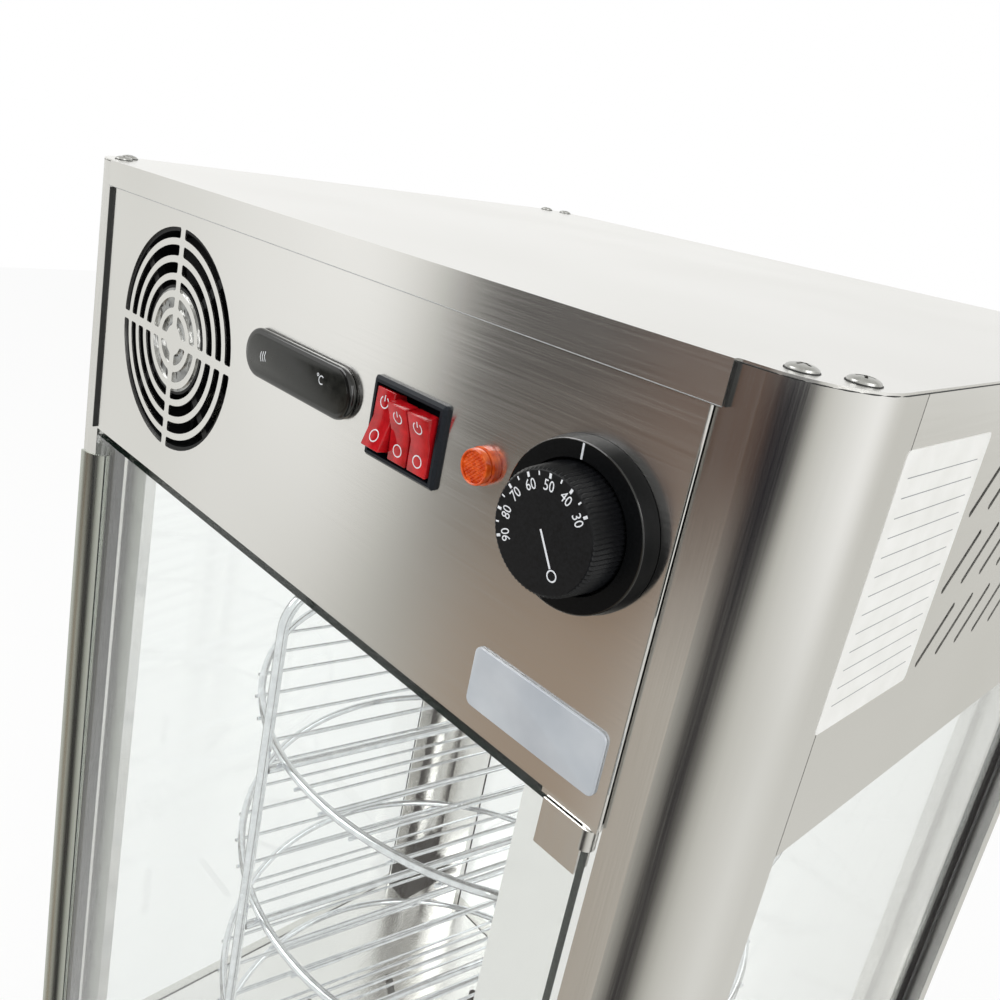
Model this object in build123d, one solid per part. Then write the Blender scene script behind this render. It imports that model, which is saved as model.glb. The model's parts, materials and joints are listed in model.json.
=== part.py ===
from build123d import *
import math
import os

# Heated display cabinet with a rotating wire rack. Millimetres, +Z up, front towards -Y.
# The origin is on the surface that the cabinet stands on, under its centre.

os.makedirs("parts", exist_ok=True)

# Cabinet
panel_width = 400.0
post_width = 39.0
cabinet_depth = 430.0
foot_height = 22.0
base_height = 90.0
cabin_height = 555.0
header_height = 160.0
sheet = 1.0
panel_flange = 22.0
panel_return = 14.0
panel_gap = 1.0
cover_lip = 14.0
cover_lip_overhang = 3.0

# Corner posts
post_sheet = 1.2
post_depth = 43.5
post_setback = 1.5
post_corner_radius = 27.0
post_return = 13.0
post_lip_inset = 14.0
post_lip_length = 14.5
gusset_thickness = 2.0

# Door stops and rear strips
stop_setback = 17.0
stop_width = 43.0
stop_joggle_at = 15.5
stop_hem = 8.0
rear_strip_left = 38.5
rear_strip_right = 5.0

# Glass and bedding
pane_thickness = 4.0
bedding = 1.5
bedding_width = 10.0
glass_gap = 0.5

# Door
door_glass_thickness = 5.0
door_left_gap = 4.0
door_right_gap = 4.7
pivot_from_post = 5.5
pivot_pin_diameter = 5.0
pivot_plate = 2.0
pivot_plate_length = 24.0
pivot_gap = 0.5
clamp_length = 21.0
clamp_head = 8.0
clamp_skirt = 10.0
clamp_wall = 1.2
clamp_rise = 1.5
pull_width = 12.0
pull_front = 8.0
pull_rear = 13.0
pull_end_gap = 14.0
pull_side_gap = 1.0
finger_groove_radius = 4.5
seal_gap = 0.3
seal_width = 13.5

# Spare width left and right of each control on the header, from left to right
control_gaps = (28.0, 15.6, 10.2, 13.0, 8.8, 3.8)

# Fan and its grille
fan_z = 78.7
slot_rings = 6
slot_ring_outer_radius = 59.0
slot_ring_pitch = 9.1
slot_width = 5.6
slot_corner = 0.8
spoke_width = 4.6
fan_size = 119.0
fan_depth = 38.0
fan_flange = 4.5
fan_bore_radius = 57.0
fan_tube_wall = 2.0
fan_hub_radius = 29.0
fan_stator_depth = 9.0
fan_rotor_gap = 6.0
fan_rotor_start = 4.0
fan_blades = 7
fan_blade_thickness = 1.8
fan_root_chord = 26.0
fan_root_pitch = 48.0
fan_tip_chord = 34.0
fan_tip_pitch = 28.0
fan_strut = 5.0
fan_tip_gap = 1.5
fan_spindle_radius = 2.5
fan_hole_spacing = 104.8
fan_hole_radius = 2.2

# Thermometer display
display_z = 96.5
display_length = 84.0
display_height = 23.0
display_proud = 4.5
display_rim = 3.0
display_body_length = 70.0
display_body_height = 18.0
display_body_depth = 24.0

# Triple rocker switch
switch_z = 94.7
switch_width = 42.2
switch_height = 33.5
switch_rim_proud = 2.6
switch_body_width = 39.4
switch_body_height = 31.2
switch_body_depth = 22.0
rocker_count = 3
rocker_width = 11.5
rocker_gap = 0.7
rocker_half_height = 12.9
rocker_end_proud = 5.8
rocker_middle_proud = 3.6
rocker_tilt = 11.0
rocker_pivot_depth = 1.5
rocker_pin_radius = 1.5
running_clearance = 0.05

# Pilot lamp
pilot_z = 96.5
pilot_rim_radius = 8.0
pilot_lens_radius = 5.9
pilot_rim_proud = 2.5
pilot_lens_proud = 7.0
pilot_body_radius = 5.0
pilot_body_depth = 24.0

# Thermostat
dial_z = 94.5
dial_bezel_radius = 29.7
dial_bezel_thickness = 3.2
knob_face_radius = 20.6
knob_height = 16.5
knob_teeth = 36
knob_tooth_depth = 0.55
knob_taper = 3.0
knob_rim = 1.5
knob_socket_from_face = 6.0
knob_gap = 0.5
thermostat_size = 44.0
thermostat_depth = 30.0
thermostat_shaft_radius = 3.0
thermostat_shaft_depth = 10.0

# Sensor line and bulb
capillary_radius = 1.0
capillary_bend = 12.0
bulb_radius = 3.0
bulb_length = 70.0
bulb_from_tube = 60.0
bulb_from_rear = 70.0
bulb_below_ceiling = 12.0
bulb_clip_width = 8.0
bulb_clip_from_end = 15.0

# Vent slots of the header sides
vent_rows = 3
vent_columns = 8
vent_first_y = 121.0
vent_first_z = 51.0
vent_column_pitch = 19.5
vent_row_pitch = 30.0
vent_length = 30.0
vent_width = 2.8
vent_lean = 45.0

# Cooling slots of the base pan, in two columns
pan_slots = 6
pan_slot_x = 100.0
pan_slot_pitch = 24.0
pan_slot_length = 50.0
pan_slot_width = 5.0

# Rack
rack_y = 6.0
rack_turn = -10.0
hoop_radius = 183.6
hoop_rod = 3.25
hoop_bend = 25.0
hoop_foot_height = 14.0
hoop_head_drop = 36.0
tier_count = 4
tier_first_drop = 146.3
tier_pitch = 111.0
ring_outer_radius = 174.0
ring_rod = 2.5
centre_bar_rod = 2.5
grid_wire = 1.1
grid_pitch = 22.0
grid_overhang = 1.0

# Rack drive
drive_spigot_radius = 11.0
drive_flange_radius = 23.0
drive_flange_thickness = 4.0
drive_boss_radius = 15.0
bush_wall = 4.0
bush_flange = 4.0
bush_flange_thickness = 2.0
motor_shaft_radius = 4.0
motor_radius = 28.0
motor_height = 38.0
gearbox_radius = 31.0
gearbox_height = 18.0
motor_bracket_sheet = 2.0
motor_bracket_width = 92.0
motor_bracket_depth = 70.0
motor_bracket_foot = 12.0
motor_bracket_drop = 14.0
top_pin_radius = 5.0
top_boss_radius = 10.0
top_boss_height = 18.0

# Heating element
element_radius = 4.0
element_height = 44.0
element_bend = 25.0
element_outer_x = 165.0
element_inner_x = 92.0
element_front_y = -150.0
element_inner_y = 130.0
element_rear_y = 176.0
element_end_x = 30.0
floor_slots = 12
floor_slot_length = 60.0
floor_slot_width = 7.0
floor_slot_radius = 130.0

# Cabin lamp
lamp_x = -110.0
lamp_from_rear = 103.0
lamp_rim_radius = 38.0
lamp_cup_radius = 29.0
lamp_cup_height = 30.0
lamp_dome_drop = 20.0
lamp_rim_thickness = 3.0
lamp_cup_wall = 1.0
lamp_glass_wall = 2.0
lamp_holder_radius = 9.0
lamp_holder_drop = 13.0
lamp_globe_radius = 12.0
lamp_globe_drop = 24.0
lamp_neck_radius = 7.0

# Fasteners, feet and gland
screw_head_radius = 4.75
screw_head_height = 3.0
screw_shank_radius = 2.4
screw_length = 10.0
screw_near_x = 16.0
screw_near_y = 12.5
screw_far_x = 29.2
screw_far_y = 22.0
foot_top_radius = 16.0
foot_bottom_radius = 18.5
foot_from_panel_x = 19.5
foot_from_front_y = 21.5
foot_stud_radius = 4.0
foot_stud_length = 10.0
gland_x = 150.0
gland_z = 50.0
gland_radius = 10.0
gland_length = 20.0
gland_bore_radius = 4.0
terminal_length = 54.0
terminal_depth = 22.0
terminal_height = 18.0
terminal_wells = 5
terminal_well_radius = 2.5
terminal_well_depth = 8.0
terminal_well_from_edge = 5.0
terminal_from_rear = 45.0

# Sides drawn for a circle on thin rods and small holes
wire_sides = 6
rod_sides = 8
head_sides = 12

# Planes and levels that follow from the sizes above
half_panel = panel_width / 2
half_width = half_panel + post_width
front_y = -cabinet_depth / 2
rear_y = cabinet_depth / 2
base_z = foot_height
floor_z = base_z + base_height
head_z = floor_z + cabin_height
roof_z = head_z + header_height
cover_z = roof_z - sheet
post_inner_x = half_width - post_lip_inset
post_lip_end = post_depth + post_lip_length
pane_inner_x = post_inner_x + post_sheet + bedding
plate_half_x = pane_inner_x - bedding
plate_edge_y = stop_setback
notch_x = half_panel - panel_gap
notch_y = cabinet_depth / 2 - post_lip_end - glass_gap
floor_top = floor_z + sheet
ceiling_z = head_z + sheet
pivot_x = half_panel - pivot_from_post
pivot_y = front_y + door_glass_thickness / 2
lamp_y = rear_y - lamp_from_rear
bulb_y = rear_y - bulb_from_rear
bulb_z = head_z - bulb_below_ceiling
control_widths = (fan_size, display_length, switch_width, 2 * pilot_rim_radius, 2 * dial_bezel_radius)
control_share = (panel_width - sum(control_widths)) / sum(control_gaps)


def control_centre(number):
    """Middle of a control across the header; the gaps share the width that the controls leave."""
    before = sum(control_widths[:number]) + sum(control_gaps[: number + 1]) * control_share
    return before + control_widths[number] / 2


fan_x, display_x, switch_x, pilot_x, dial_x = [control_centre(number) for number in range(5)]
capillary_x = dial_x - half_panel
bulb_x = capillary_x - bulb_from_tube


def save(name, shape):
    export_step(shape, f"parts/{name}.step")


def block(x0, x1, y0, y1, z0, z1):
    """A box between two corners."""
    return Pos((x0 + x1) / 2, (y0 + y1) / 2, (z0 + z1) / 2) * Box(x1 - x0, y1 - y0, z1 - z0)


def disc(x, y, z0, z1, radius):
    """An upright cylinder between two levels."""
    return Pos(x, y, (z0 + z1) / 2) * Cylinder(radius, z1 - z0)


def rod(start, end, radius, sides=0):
    """A rod between two points, round or with the number of sides given."""
    line = Vector(*end) - Vector(*start)
    section = RegularPolygon(radius, sides) if sides else Circle(radius)
    return extrude(Plane(origin=start, z_dir=line) * section, line.length)


def upright(x, y, z0, z1, radius, sides=rod_sides):
    """A small upright peg or hole between two levels."""
    return rod((x, y, z0), (x, y, z1), radius, sides)


def slot_outline(length, width):
    """Long slot with its corners cut off, lying along X."""
    return chamfer(Rectangle(length, width).vertices(), width * 0.29)


def facing(x, z, y=front_y):
    """A plane on the front panel: local X to the right, local Y up, local Z towards the viewer.
    x and z are measured from the lower left corner of the header panel."""
    return Plane((x - half_panel, y, head_z + z), x_dir=(1, 0, 0), z_dir=(0, -1, 0))


def revolved(points):
    """A turned piece about Z from its half section in radius and height."""
    return revolve(make_face(Plane.XZ * Polyline(points, close=True)), Axis.Z)


def left_of(shape):
    return mirror(shape, about=Plane.YZ)


def behind(shape):
    return mirror(shape, about=Plane.XZ)


def all_corners(shape):
    """The shape of the front right corner, repeated at the other three."""
    right_pair = [shape, behind(shape)]
    return right_pair + [left_of(one) for one in right_pair]


def post_plan(inset, z0, z1):
    """Plan of the front right post, filled, with its rolled corner."""
    radius = post_corner_radius - inset
    left = half_panel + inset
    right = half_width - inset
    front = front_y + post_setback + inset
    back = front_y + post_depth - inset
    bend_x = right - radius
    bend_y = front + radius
    middle = (bend_x + radius * math.sin(math.pi / 4), bend_y - radius * math.cos(math.pi / 4))
    outline = Polyline((right, bend_y), (right, back), (left, back), (left, front), (bend_x, front))
    corner = ThreePointArc((bend_x, front), middle, (right, bend_y))
    return extrude(Pos(0, 0, z0) * make_face([outline, corner]), z1 - z0)


def screw_places():
    return [
        (half_panel + screw_near_x, front_y + screw_near_y),
        (half_panel + screw_far_x, front_y + screw_far_y),
    ]


def corner_post():
    """Front right post: rolled corner, folded returns, a lip for the side glass and end gussets."""
    back = front_y + post_depth
    shell = post_plan(0, base_z, cover_z) - post_plan(post_sheet, base_z, cover_z)
    shell -= block(half_panel - 1, post_inner_x, front_y + post_setback + post_return, back + 1, base_z, cover_z)
    lip_end = front_y + post_lip_end
    shell += block(post_inner_x, post_inner_x + post_sheet, back - post_sheet, lip_end, base_z, cover_z)
    top = post_plan(0, cover_z - gusset_thickness, cover_z)
    for x, y in screw_places():
        top -= upright(x, y, base_z, roof_z, screw_shank_radius + running_clearance)
    bottom = post_plan(0, base_z, base_z + gusset_thickness)
    foot_x = half_panel + foot_from_panel_x
    foot_y = front_y + foot_from_front_y
    bottom -= upright(foot_x, foot_y, base_z, floor_z, foot_stud_radius + running_clearance)
    return shell + top + bottom


def stop_strip(width, joggle, hem):
    """Folded strip at the right front post, which the door or the rear pane rests against."""
    leg_x = half_panel + post_sheet
    face = front_y + stop_setback
    z0 = floor_top
    z1 = head_z
    leg = block(leg_x, leg_x + sheet, front_y + post_setback + 2 * sheet, face + sheet, z0, z1)
    inner_x = half_panel - (joggle if joggle else width)
    strip = leg + block(inner_x, leg_x + sheet, face, face + sheet, z0, z1)
    if joggle:
        end_x = half_panel - width
        strip += block(end_x, inner_x + sheet, face + sheet, face + 2 * sheet, z0, z1)
        strip += block(end_x, end_x + sheet, face + sheet, face + hem, z0, z1)
    return strip


def front_sheet(z0, z1, flange_z):
    """Panel between two posts: face, folded side returns, and a flange at each level given."""
    x = half_panel - panel_gap
    panel = block(-x, x, front_y, front_y + sheet, z0, z1)
    for side in (-1, 1):
        edge = sorted((side * x, side * (x - sheet)))
        panel += block(edge[0], edge[1], front_y, front_y + panel_return, z0, z1)
    for z in flange_z:
        panel += block(-x, x, front_y, front_y + panel_flange, z, z + sheet)
    return panel


def side_sheet(z0, z1, flange_z):
    """Right side panel between two posts, with a flange at each level given."""
    y = -front_y - post_depth - glass_gap
    flange_y = -front_y - post_lip_end - glass_gap
    panel = block(half_width - sheet, half_width, -y, y, z0, z1)
    for z in flange_z:
        panel += block(half_width - panel_flange, half_width, -flange_y, flange_y, z, z + sheet)
    return panel


def notched_plate(z0, z1):
    """Sheet that fills the cabinet's plan and is cut away round the four posts."""
    y = -front_y - plate_edge_y
    plate = block(-plate_half_x, plate_half_x, -y, y, z0, z1)
    for notch in all_corners(block(notch_x, half_width, front_y, -notch_y, z0 - 1, z1 + 1)):
        plate -= notch
    return plate


def grille_slots():
    """Curved slots in rings, cut off square beside the four spokes, with eased corners."""
    span = 2 * slot_ring_outer_radius + 2
    spokes = Rectangle(span, spoke_width) + Rectangle(spoke_width, span)
    slots = Sketch()
    for ring in range(slot_rings):
        outer = slot_ring_outer_radius - ring * slot_ring_pitch
        band = Circle(outer) - Circle(outer - slot_width) - spokes
        slots += chamfer(band.vertices(), slot_corner)
    return slots


def header_front():
    panel = front_sheet(head_z, cover_z, (head_z, cover_z - sheet))
    panel -= extrude(facing(fan_x, fan_z) * grille_slots(), 5, both=True)
    openings = Pos(display_x, display_z) * Rectangle(display_body_length + 1, display_body_height + 1)
    openings += Pos(switch_x, switch_z) * Rectangle(switch_body_width + 0.4, switch_body_height + 0.4)
    openings += Pos(pilot_x, pilot_z) * Circle(pilot_body_radius + 0.2)
    openings += Pos(dial_x, dial_z) * Circle(thermostat_shaft_radius + 2.5)
    return panel - extrude(facing(0, 0) * openings, 5, both=True)


def vent_slots():
    """Rows of slanted slots, cut through a side panel of the header."""
    lean = Rot(0, 0, vent_lean)
    reach = (vent_length - vent_width) / 2
    reach_y = reach * math.cos(math.radians(vent_lean))
    reach_z = reach * math.sin(math.radians(vent_lean))
    slots = Sketch()
    for row in range(vent_rows):
        for column in range(vent_columns):
            y = vent_first_y + column * vent_column_pitch + reach_y
            z = vent_first_z + row * vent_row_pitch + reach_z
            slots += Pos(y, z) * lean * slot_outline(vent_length, vent_width)
    side = Plane((half_width, front_y, head_z), x_dir=(0, 1, 0), z_dir=(1, 0, 0))
    return extrude(side * slots, 5, both=True)


def header_side():
    return side_sheet(head_z, cover_z, (head_z,)) - vent_slots()


def header_rear():
    panel = behind(front_sheet(head_z, cover_z, (head_z, cover_z - sheet)))
    return panel - rod(gland_point(-5), gland_point(5), gland_radius - 2)


def gland_point(out):
    return (gland_x, rear_y + out, head_z + gland_z)


def top_cover():
    """Cover with its four rolled corners over the posts, and a lip over the front and rear panels."""
    y = front_y + post_setback
    plate = block(-half_width, half_width, y, -y, cover_z, roof_z)
    edges = plate.edges().filter_by(Axis.Z)
    plate = fillet(edges, post_corner_radius)
    lip_x = half_panel + cover_lip_overhang
    tongue = block(-lip_x, lip_x, front_y - sheet, y + 1, cover_z, roof_z)
    lip = block(-lip_x, lip_x, front_y - sheet, front_y, roof_z - cover_lip, roof_z)
    front_edge = tongue + lip
    cover = plate + front_edge + behind(front_edge)
    for x, y in screw_places():
        for hole in all_corners(upright(x, y, cover_z - 1, roof_z + 1, screw_shank_radius + running_clearance)):
            cover -= hole
    return cover


def cover_screw(x, y):
    """Pan-head screw: a head with a sloping edge on a plain shank."""
    shank = upright(x, y, roof_z - screw_length, roof_z, screw_shank_radius)
    rim = screw_head_height * 0.4
    head = Pos(x, y, roof_z) * extrude(RegularPolygon(screw_head_radius, head_sides), rim)
    crown = extrude(RegularPolygon(screw_head_radius, head_sides), screw_head_height - rim, taper=45)
    return shank + head + Pos(x, y, roof_z + rim) * crown


def rubber_foot():
    """Foot with a waisted side, a foot pad and the stud that holds it to the post."""
    x = half_panel + foot_from_panel_x
    y = front_y + foot_from_front_y
    top = base_z
    body = revolved(
        [
            (0, 0),
            (foot_bottom_radius, 0),
            (foot_bottom_radius, top * 0.25),
            (foot_top_radius, top * 0.4),
            (foot_top_radius, top),
            (0, top),
        ]
    )
    return Pos(x, y, 0) * body + upright(x, y, top, top + foot_stud_length, foot_stud_radius)


def side_pane():
    y = -front_y - post_depth - glass_gap
    top = head_z - seal_gap
    return block(pane_inner_x, pane_inner_x + pane_thickness, -y, y, floor_z, top)


def rear_pane_y():
    """The two faces of the rear pane, inner face first."""
    inner = rear_y - stop_setback + bedding
    return inner, inner + pane_thickness


def rear_pane():
    inner, outer = rear_pane_y()
    x = half_panel - 2 * glass_gap
    return block(-x, x, inner, outer, floor_z, head_z - seal_gap)


def bedding_strips():
    """Soft strips between each fixed pane and what it rests against."""
    top = head_z - seal_gap
    inner_x = pane_inner_x - bedding
    strip_front = front_y + post_lip_end - bedding_width
    side = block(inner_x, pane_inner_x, strip_front, strip_front + bedding_width, floor_z, top)
    inner_y = rear_pane_y()[0]
    left_x = -half_panel + rear_strip_left
    rear_left = block(left_x - bedding_width, left_x, inner_y - bedding, inner_y, floor_z, top)
    right_x = half_panel - rear_strip_right
    rear_right = block(right_x, half_panel - 2 * glass_gap, inner_y - bedding, inner_y, floor_z, top)
    return all_corners(side) + [rear_left, rear_right]


def pivot_piece(z, up):
    """Pivot plate on a panel flange with its pin; up is 1 at the bottom of the door and -1 at the top."""
    right = half_panel - panel_gap
    levels = sorted((z, z + up * pivot_plate))
    depth = door_glass_thickness + 2 * clamp_wall
    plate = block(right - pivot_plate_length, right, front_y, front_y + depth, levels[0], levels[1])
    tip = z + up * (pivot_plate + pivot_gap + clamp_head - 2)
    pin = sorted((z, tip))
    return plate + disc(pivot_x, pivot_y, pin[0], pin[1], pivot_pin_diameter / 2)


def door_clamp(z, up):
    """Clamp that fills the notch in a corner of the glass, with a bore for the pivot pin."""
    start = z + up * (pivot_plate + pivot_gap)
    head = sorted((start, start + up * clamp_head))
    skirt = sorted((start + up * clamp_head, start + up * (clamp_head + clamp_skirt)))
    half = door_glass_thickness / 2 + clamp_wall
    left = pivot_x - clamp_length + half
    clamp = block(left, pivot_x, pivot_y - half, pivot_y + half, head[0], head[1])
    clamp += disc(pivot_x, pivot_y, head[0], head[1], half)
    glass_right = half_panel - door_right_gap
    for y0, y1 in ((pivot_y - half, front_y), (front_y + door_glass_thickness, pivot_y + half)):
        clamp += block(left, glass_right, y0, y1, skirt[0], skirt[1])
    bore_end = start + up * (clamp_head - 1)
    bore = sorted((start - up, bore_end))
    return clamp - disc(pivot_x, pivot_y, bore[0], bore[1], pivot_pin_diameter / 2 + running_clearance)


def door_glass():
    """Pane with a notch for the clamp at both right corners and slightly eased corners."""
    left = -half_panel + door_left_gap
    right = half_panel - door_right_gap
    drop = pivot_plate + pivot_gap + clamp_rise
    bottom = floor_z + drop
    top = head_z - drop
    glass = block(left, right, front_y, front_y + door_glass_thickness, bottom, top)
    notch_left = pivot_x - clamp_length + door_glass_thickness / 2 + clamp_wall
    notch = clamp_head - clamp_rise
    glass -= block(notch_left, right + 1, front_y - 1, front_y + 6, top - notch, top + 1)
    glass -= block(notch_left, right + 1, front_y - 1, front_y + 6, bottom - 1, bottom + notch)
    return glass


def door_pull():
    """Extruded pull over the left edge of the glass: half-round face, finger groove, glass slot."""
    left = -half_panel + pull_side_gap
    z0 = floor_z + pull_end_gap
    z1 = head_z - pull_end_gap
    nose = front_y - pull_front
    heel = front_y + pull_rear
    middle = (left + pull_width, (nose + heel) / 2)
    section = make_face([ThreePointArc((left, nose), middle, (left, heel)), Line((left, heel), (left, nose))])
    section -= Pos(left - 1.5, front_y - pull_front / 2) * Circle(finger_groove_radius)
    glass_left = -half_panel + door_left_gap
    slot_y = front_y + door_glass_thickness / 2
    slot_x = glass_left + pull_width / 2
    section -= Pos(slot_x, slot_y) * Rectangle(pull_width, door_glass_thickness)
    return extrude(Pos(0, 0, z0) * section, z1 - z0)


def door_seal():
    """Magnetic sealing strip on the left door stop, just clear of the closed pull."""
    left = -half_panel + pull_side_gap
    seal_front = front_y + pull_rear + seal_gap
    return block(left, left + seal_width, seal_front, front_y + stop_setback, floor_top, head_z)


def fan_frame():
    """Square cast frame: two flanges, the round tube between them, a stator hub and four struts."""
    half = fan_size / 2
    half_spacing = fan_hole_spacing / 2
    flange = extrude(chamfer(Rectangle(fan_size, fan_size).vertices(), fan_flange / 2), fan_flange)
    for x in (-half_spacing, half_spacing):
        for y in (-half_spacing, half_spacing):
            flange -= upright(x, y, -1, fan_flange + 1, fan_hole_radius)
    tube_radius = fan_bore_radius + fan_tube_wall
    tube = Pos(0, 0, fan_depth / 2) * Cylinder(tube_radius, fan_depth)
    frame = flange + Pos(0, 0, fan_depth - fan_flange) * flange + tube
    frame -= Pos(0, 0, fan_depth / 2) * Cylinder(fan_bore_radius, fan_depth + 2)
    stator = Pos(0, 0, fan_depth - fan_stator_depth / 2) * Cylinder(fan_hub_radius, fan_stator_depth)
    struts = Part()
    for turn in (45, 135, 225, 315):
        reach = (fan_hub_radius + fan_bore_radius) / 2
        strut = Pos(reach, 0, fan_depth - 0.6 * fan_strut) * Box(half - fan_hub_radius, fan_strut, fan_strut)
        struts += Rot(0, 0, turn) * strut
    spindle = rod((0, 0, fan_rotor_gap), (0, 0, fan_depth - 1), fan_spindle_radius)
    return facing(fan_x, fan_z, front_y + sheet + fan_depth) * (frame + stator + struts + spindle)


def fan_rotor():
    """Rotor cup with twisted blades that clear the bore of the frame."""
    depth = fan_depth - fan_stator_depth - fan_rotor_gap
    middle = fan_rotor_start + depth / 2
    cup = Pos(0, 0, middle) * Cylinder(fan_hub_radius, depth)
    root = fan_hub_radius - 2
    ends = ((root, fan_root_chord, fan_root_pitch), (fan_bore_radius, fan_tip_chord, fan_tip_pitch))
    blades = Part()
    for number in range(fan_blades):
        sections = []
        for radius, chord, pitch in ends:
            plane = Plane((radius, 0, middle), x_dir=(0, 1, 0), z_dir=(1, 0, 0))
            sections.append(plane * Rot(0, 0, pitch) * Rectangle(chord, fan_blade_thickness))
        blades += Rot(0, 0, 360 / fan_blades * number) * loft(sections)
    band = Pos(0, 0, middle) * Cylinder(fan_bore_radius - fan_tip_gap, depth)
    rotor = cup + (blades & band)
    rotor -= rod((0, 0, 0), (0, 0, fan_depth), fan_spindle_radius + running_clearance)
    return facing(fan_x, fan_z, front_y + sheet + fan_depth) * rotor


def display_body():
    """Oval bezel with a chamfered edge, and the square housing behind the panel."""
    bezel = extrude(SlotOverall(display_length, display_height), display_proud)
    bezel = chamfer(bezel.edges().group_by(Axis.Z)[-1], 1.6)
    inner = SlotOverall(display_length - 2 * display_rim, display_height - 2 * display_rim)
    bezel -= Pos(0, 0, display_proud - 1) * extrude(inner, 2)
    depth = display_body_depth
    housing = Pos(0, 0, -depth / 2) * Box(display_body_length, display_body_height, depth)
    clips = Pos(0, 0, -4) * Box(display_body_length - 12, display_body_height + 2.0, 2)
    return facing(display_x, display_z) * (bezel + housing + clips)


def display_lens():
    gap = display_rim
    lens = extrude(SlotOverall(display_length - 2 * gap, display_height - 2 * gap), 1.2)
    return facing(display_x, display_z) * Pos(0, 0, display_proud - 1) * lens


def rocker_place(number):
    """Distance of a rocker's middle from the middle of the switch."""
    return (number - (rocker_count - 1) / 2) * (rocker_width + rocker_gap)


def switch_housing():
    """Housing with a bevelled rim, an open pocket, the rocker pin and the blade terminals."""
    rim = extrude(RectangleRounded(switch_width, switch_height, 1.5), switch_rim_proud)
    rim = chamfer(rim.edges().group_by(Axis.Z)[-1], 1.2)
    depth = switch_body_depth
    body = Pos(0, 0, -depth / 2) * Box(switch_body_width, switch_body_height, depth)
    pocket_width = rocker_count * (rocker_width + rocker_gap) + rocker_gap
    pocket_height = 2 * (rocker_half_height + 1.4)
    pocket_floor = -8.0
    pocket = block(-pocket_width / 2, pocket_width / 2, -pocket_height / 2, pocket_height / 2, pocket_floor, 10)
    housing = rim + body - pocket
    pin = rod((-pocket_width / 2, 0, 0), (pocket_width / 2, 0, 0), rocker_pin_radius)
    housing += Pos(0, 0, -rocker_pivot_depth) * pin
    for number in range(rocker_count):
        for height in (-8, 0, 8):
            housing += Pos(rocker_place(number), height, -depth - 4) * Box(0.8, 4.8, 9)
    return facing(switch_x, switch_z) * housing


def rocker(number, tilt):
    """Boat-shaped rocker, bored for the pin and tilted to one of its two places."""
    high = rocker_end_proud
    outline = [
        (-rocker_half_height, high),
        (0, rocker_middle_proud),
        (rocker_half_height, high),
        (rocker_half_height - 0.4, -1.0),
        (5, -4.5),
        (-5, -4.5),
        (0.4 - rocker_half_height, -1.0),
    ]
    side = Plane((-rocker_width / 2, 0, 0), x_dir=(0, 1, 0), z_dir=(1, 0, 0))
    body = extrude(side * make_face(Polyline(outline, close=True)), rocker_width)
    depth = -rocker_pivot_depth
    body -= rod((-rocker_width, 0, depth), (rocker_width, 0, depth), rocker_pin_radius + running_clearance)
    turned = Pos(0, 0, depth) * Rot(tilt, 0, 0) * Pos(0, 0, -depth) * body
    return facing(switch_x, switch_z) * Pos(rocker_place(number), 0, 0) * turned


def pilot_body():
    """Rim, threaded barrel behind the panel and two blade terminals."""
    body = revolved(
        [
            (0, -pilot_body_depth),
            (pilot_body_radius, -pilot_body_depth),
            (pilot_body_radius, 0),
            (pilot_rim_radius, 0),
            (pilot_rim_radius, pilot_rim_proud - 1),
            (pilot_rim_radius - 1, pilot_rim_proud),
            (0, pilot_rim_proud),
        ]
    )
    for side in (-2.5, 2.5):
        body += Pos(side, 0, -pilot_body_depth - 3.5) * Box(0.8, 4.8, 7)
    return facing(pilot_x, pilot_z) * body


def pilot_lens():
    """Shallow cut lens with a flat face and a sloping edge."""
    base = pilot_rim_proud
    lens = revolved(
        [
            (0, base),
            (pilot_lens_radius, base),
            (pilot_lens_radius, pilot_lens_proud - 1.5),
            (pilot_lens_radius - 1.2, pilot_lens_proud),
            (0, pilot_lens_proud),
        ]
    )
    return facing(pilot_x, pilot_z) * lens


def dial_bezel():
    """Thin round plate with a rounded edge and a shallow dish under the knob."""
    radius = dial_bezel_radius
    thickness = dial_bezel_thickness
    bore = thermostat_shaft_radius + 2.5
    return facing(dial_x, dial_z) * revolved(
        [
            (bore, 0),
            (radius, 0),
            (radius, thickness * 0.4),
            (radius - 1.4, thickness),
            (knob_face_radius + 3.0, thickness),
            (knob_face_radius + 2.0, thickness - 1),
            (bore, thickness - 1),
        ]
    )


def toothed(radius, z):
    """Outline of the milled grip at one height."""
    points = []
    for step in range(2 * knob_teeth):
        reach = radius - (knob_tooth_depth if step % 2 else 0)
        angle = math.pi * step / knob_teeth
        points.append((reach * math.cos(angle), reach * math.sin(angle)))
    return Pos(0, 0, z) * make_face(Polyline(points, close=True))


def knob():
    """Knob with a finely milled, tapering grip and a smooth face with an eased edge."""
    start = dial_bezel_thickness + knob_gap
    end = start + knob_height
    edge = knob_face_radius - knob_tooth_depth
    foot_radius = knob_face_radius + math.tan(math.radians(knob_taper)) * knob_height
    grip = loft([toothed(foot_radius, start), toothed(knob_face_radius, end - knob_rim)], ruled=True)
    cap = Pos(0, 0, end - knob_rim) * extrude(Circle(edge), knob_rim)
    cap = chamfer(cap.edges().group_by(Axis.Z)[-1], knob_rim / 2)
    socket = rod((0, 0, 0), (0, 0, end - knob_socket_from_face), thermostat_shaft_radius)
    return facing(dial_x, dial_z) * (grip + cap - socket)


def thermostat_shaft():
    start = -thermostat_shaft_depth
    end = dial_bezel_thickness + knob_gap + knob_height - knob_socket_from_face
    return facing(dial_x, dial_z) * rod((0, 0, start), (0, 0, end), thermostat_shaft_radius)


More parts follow.
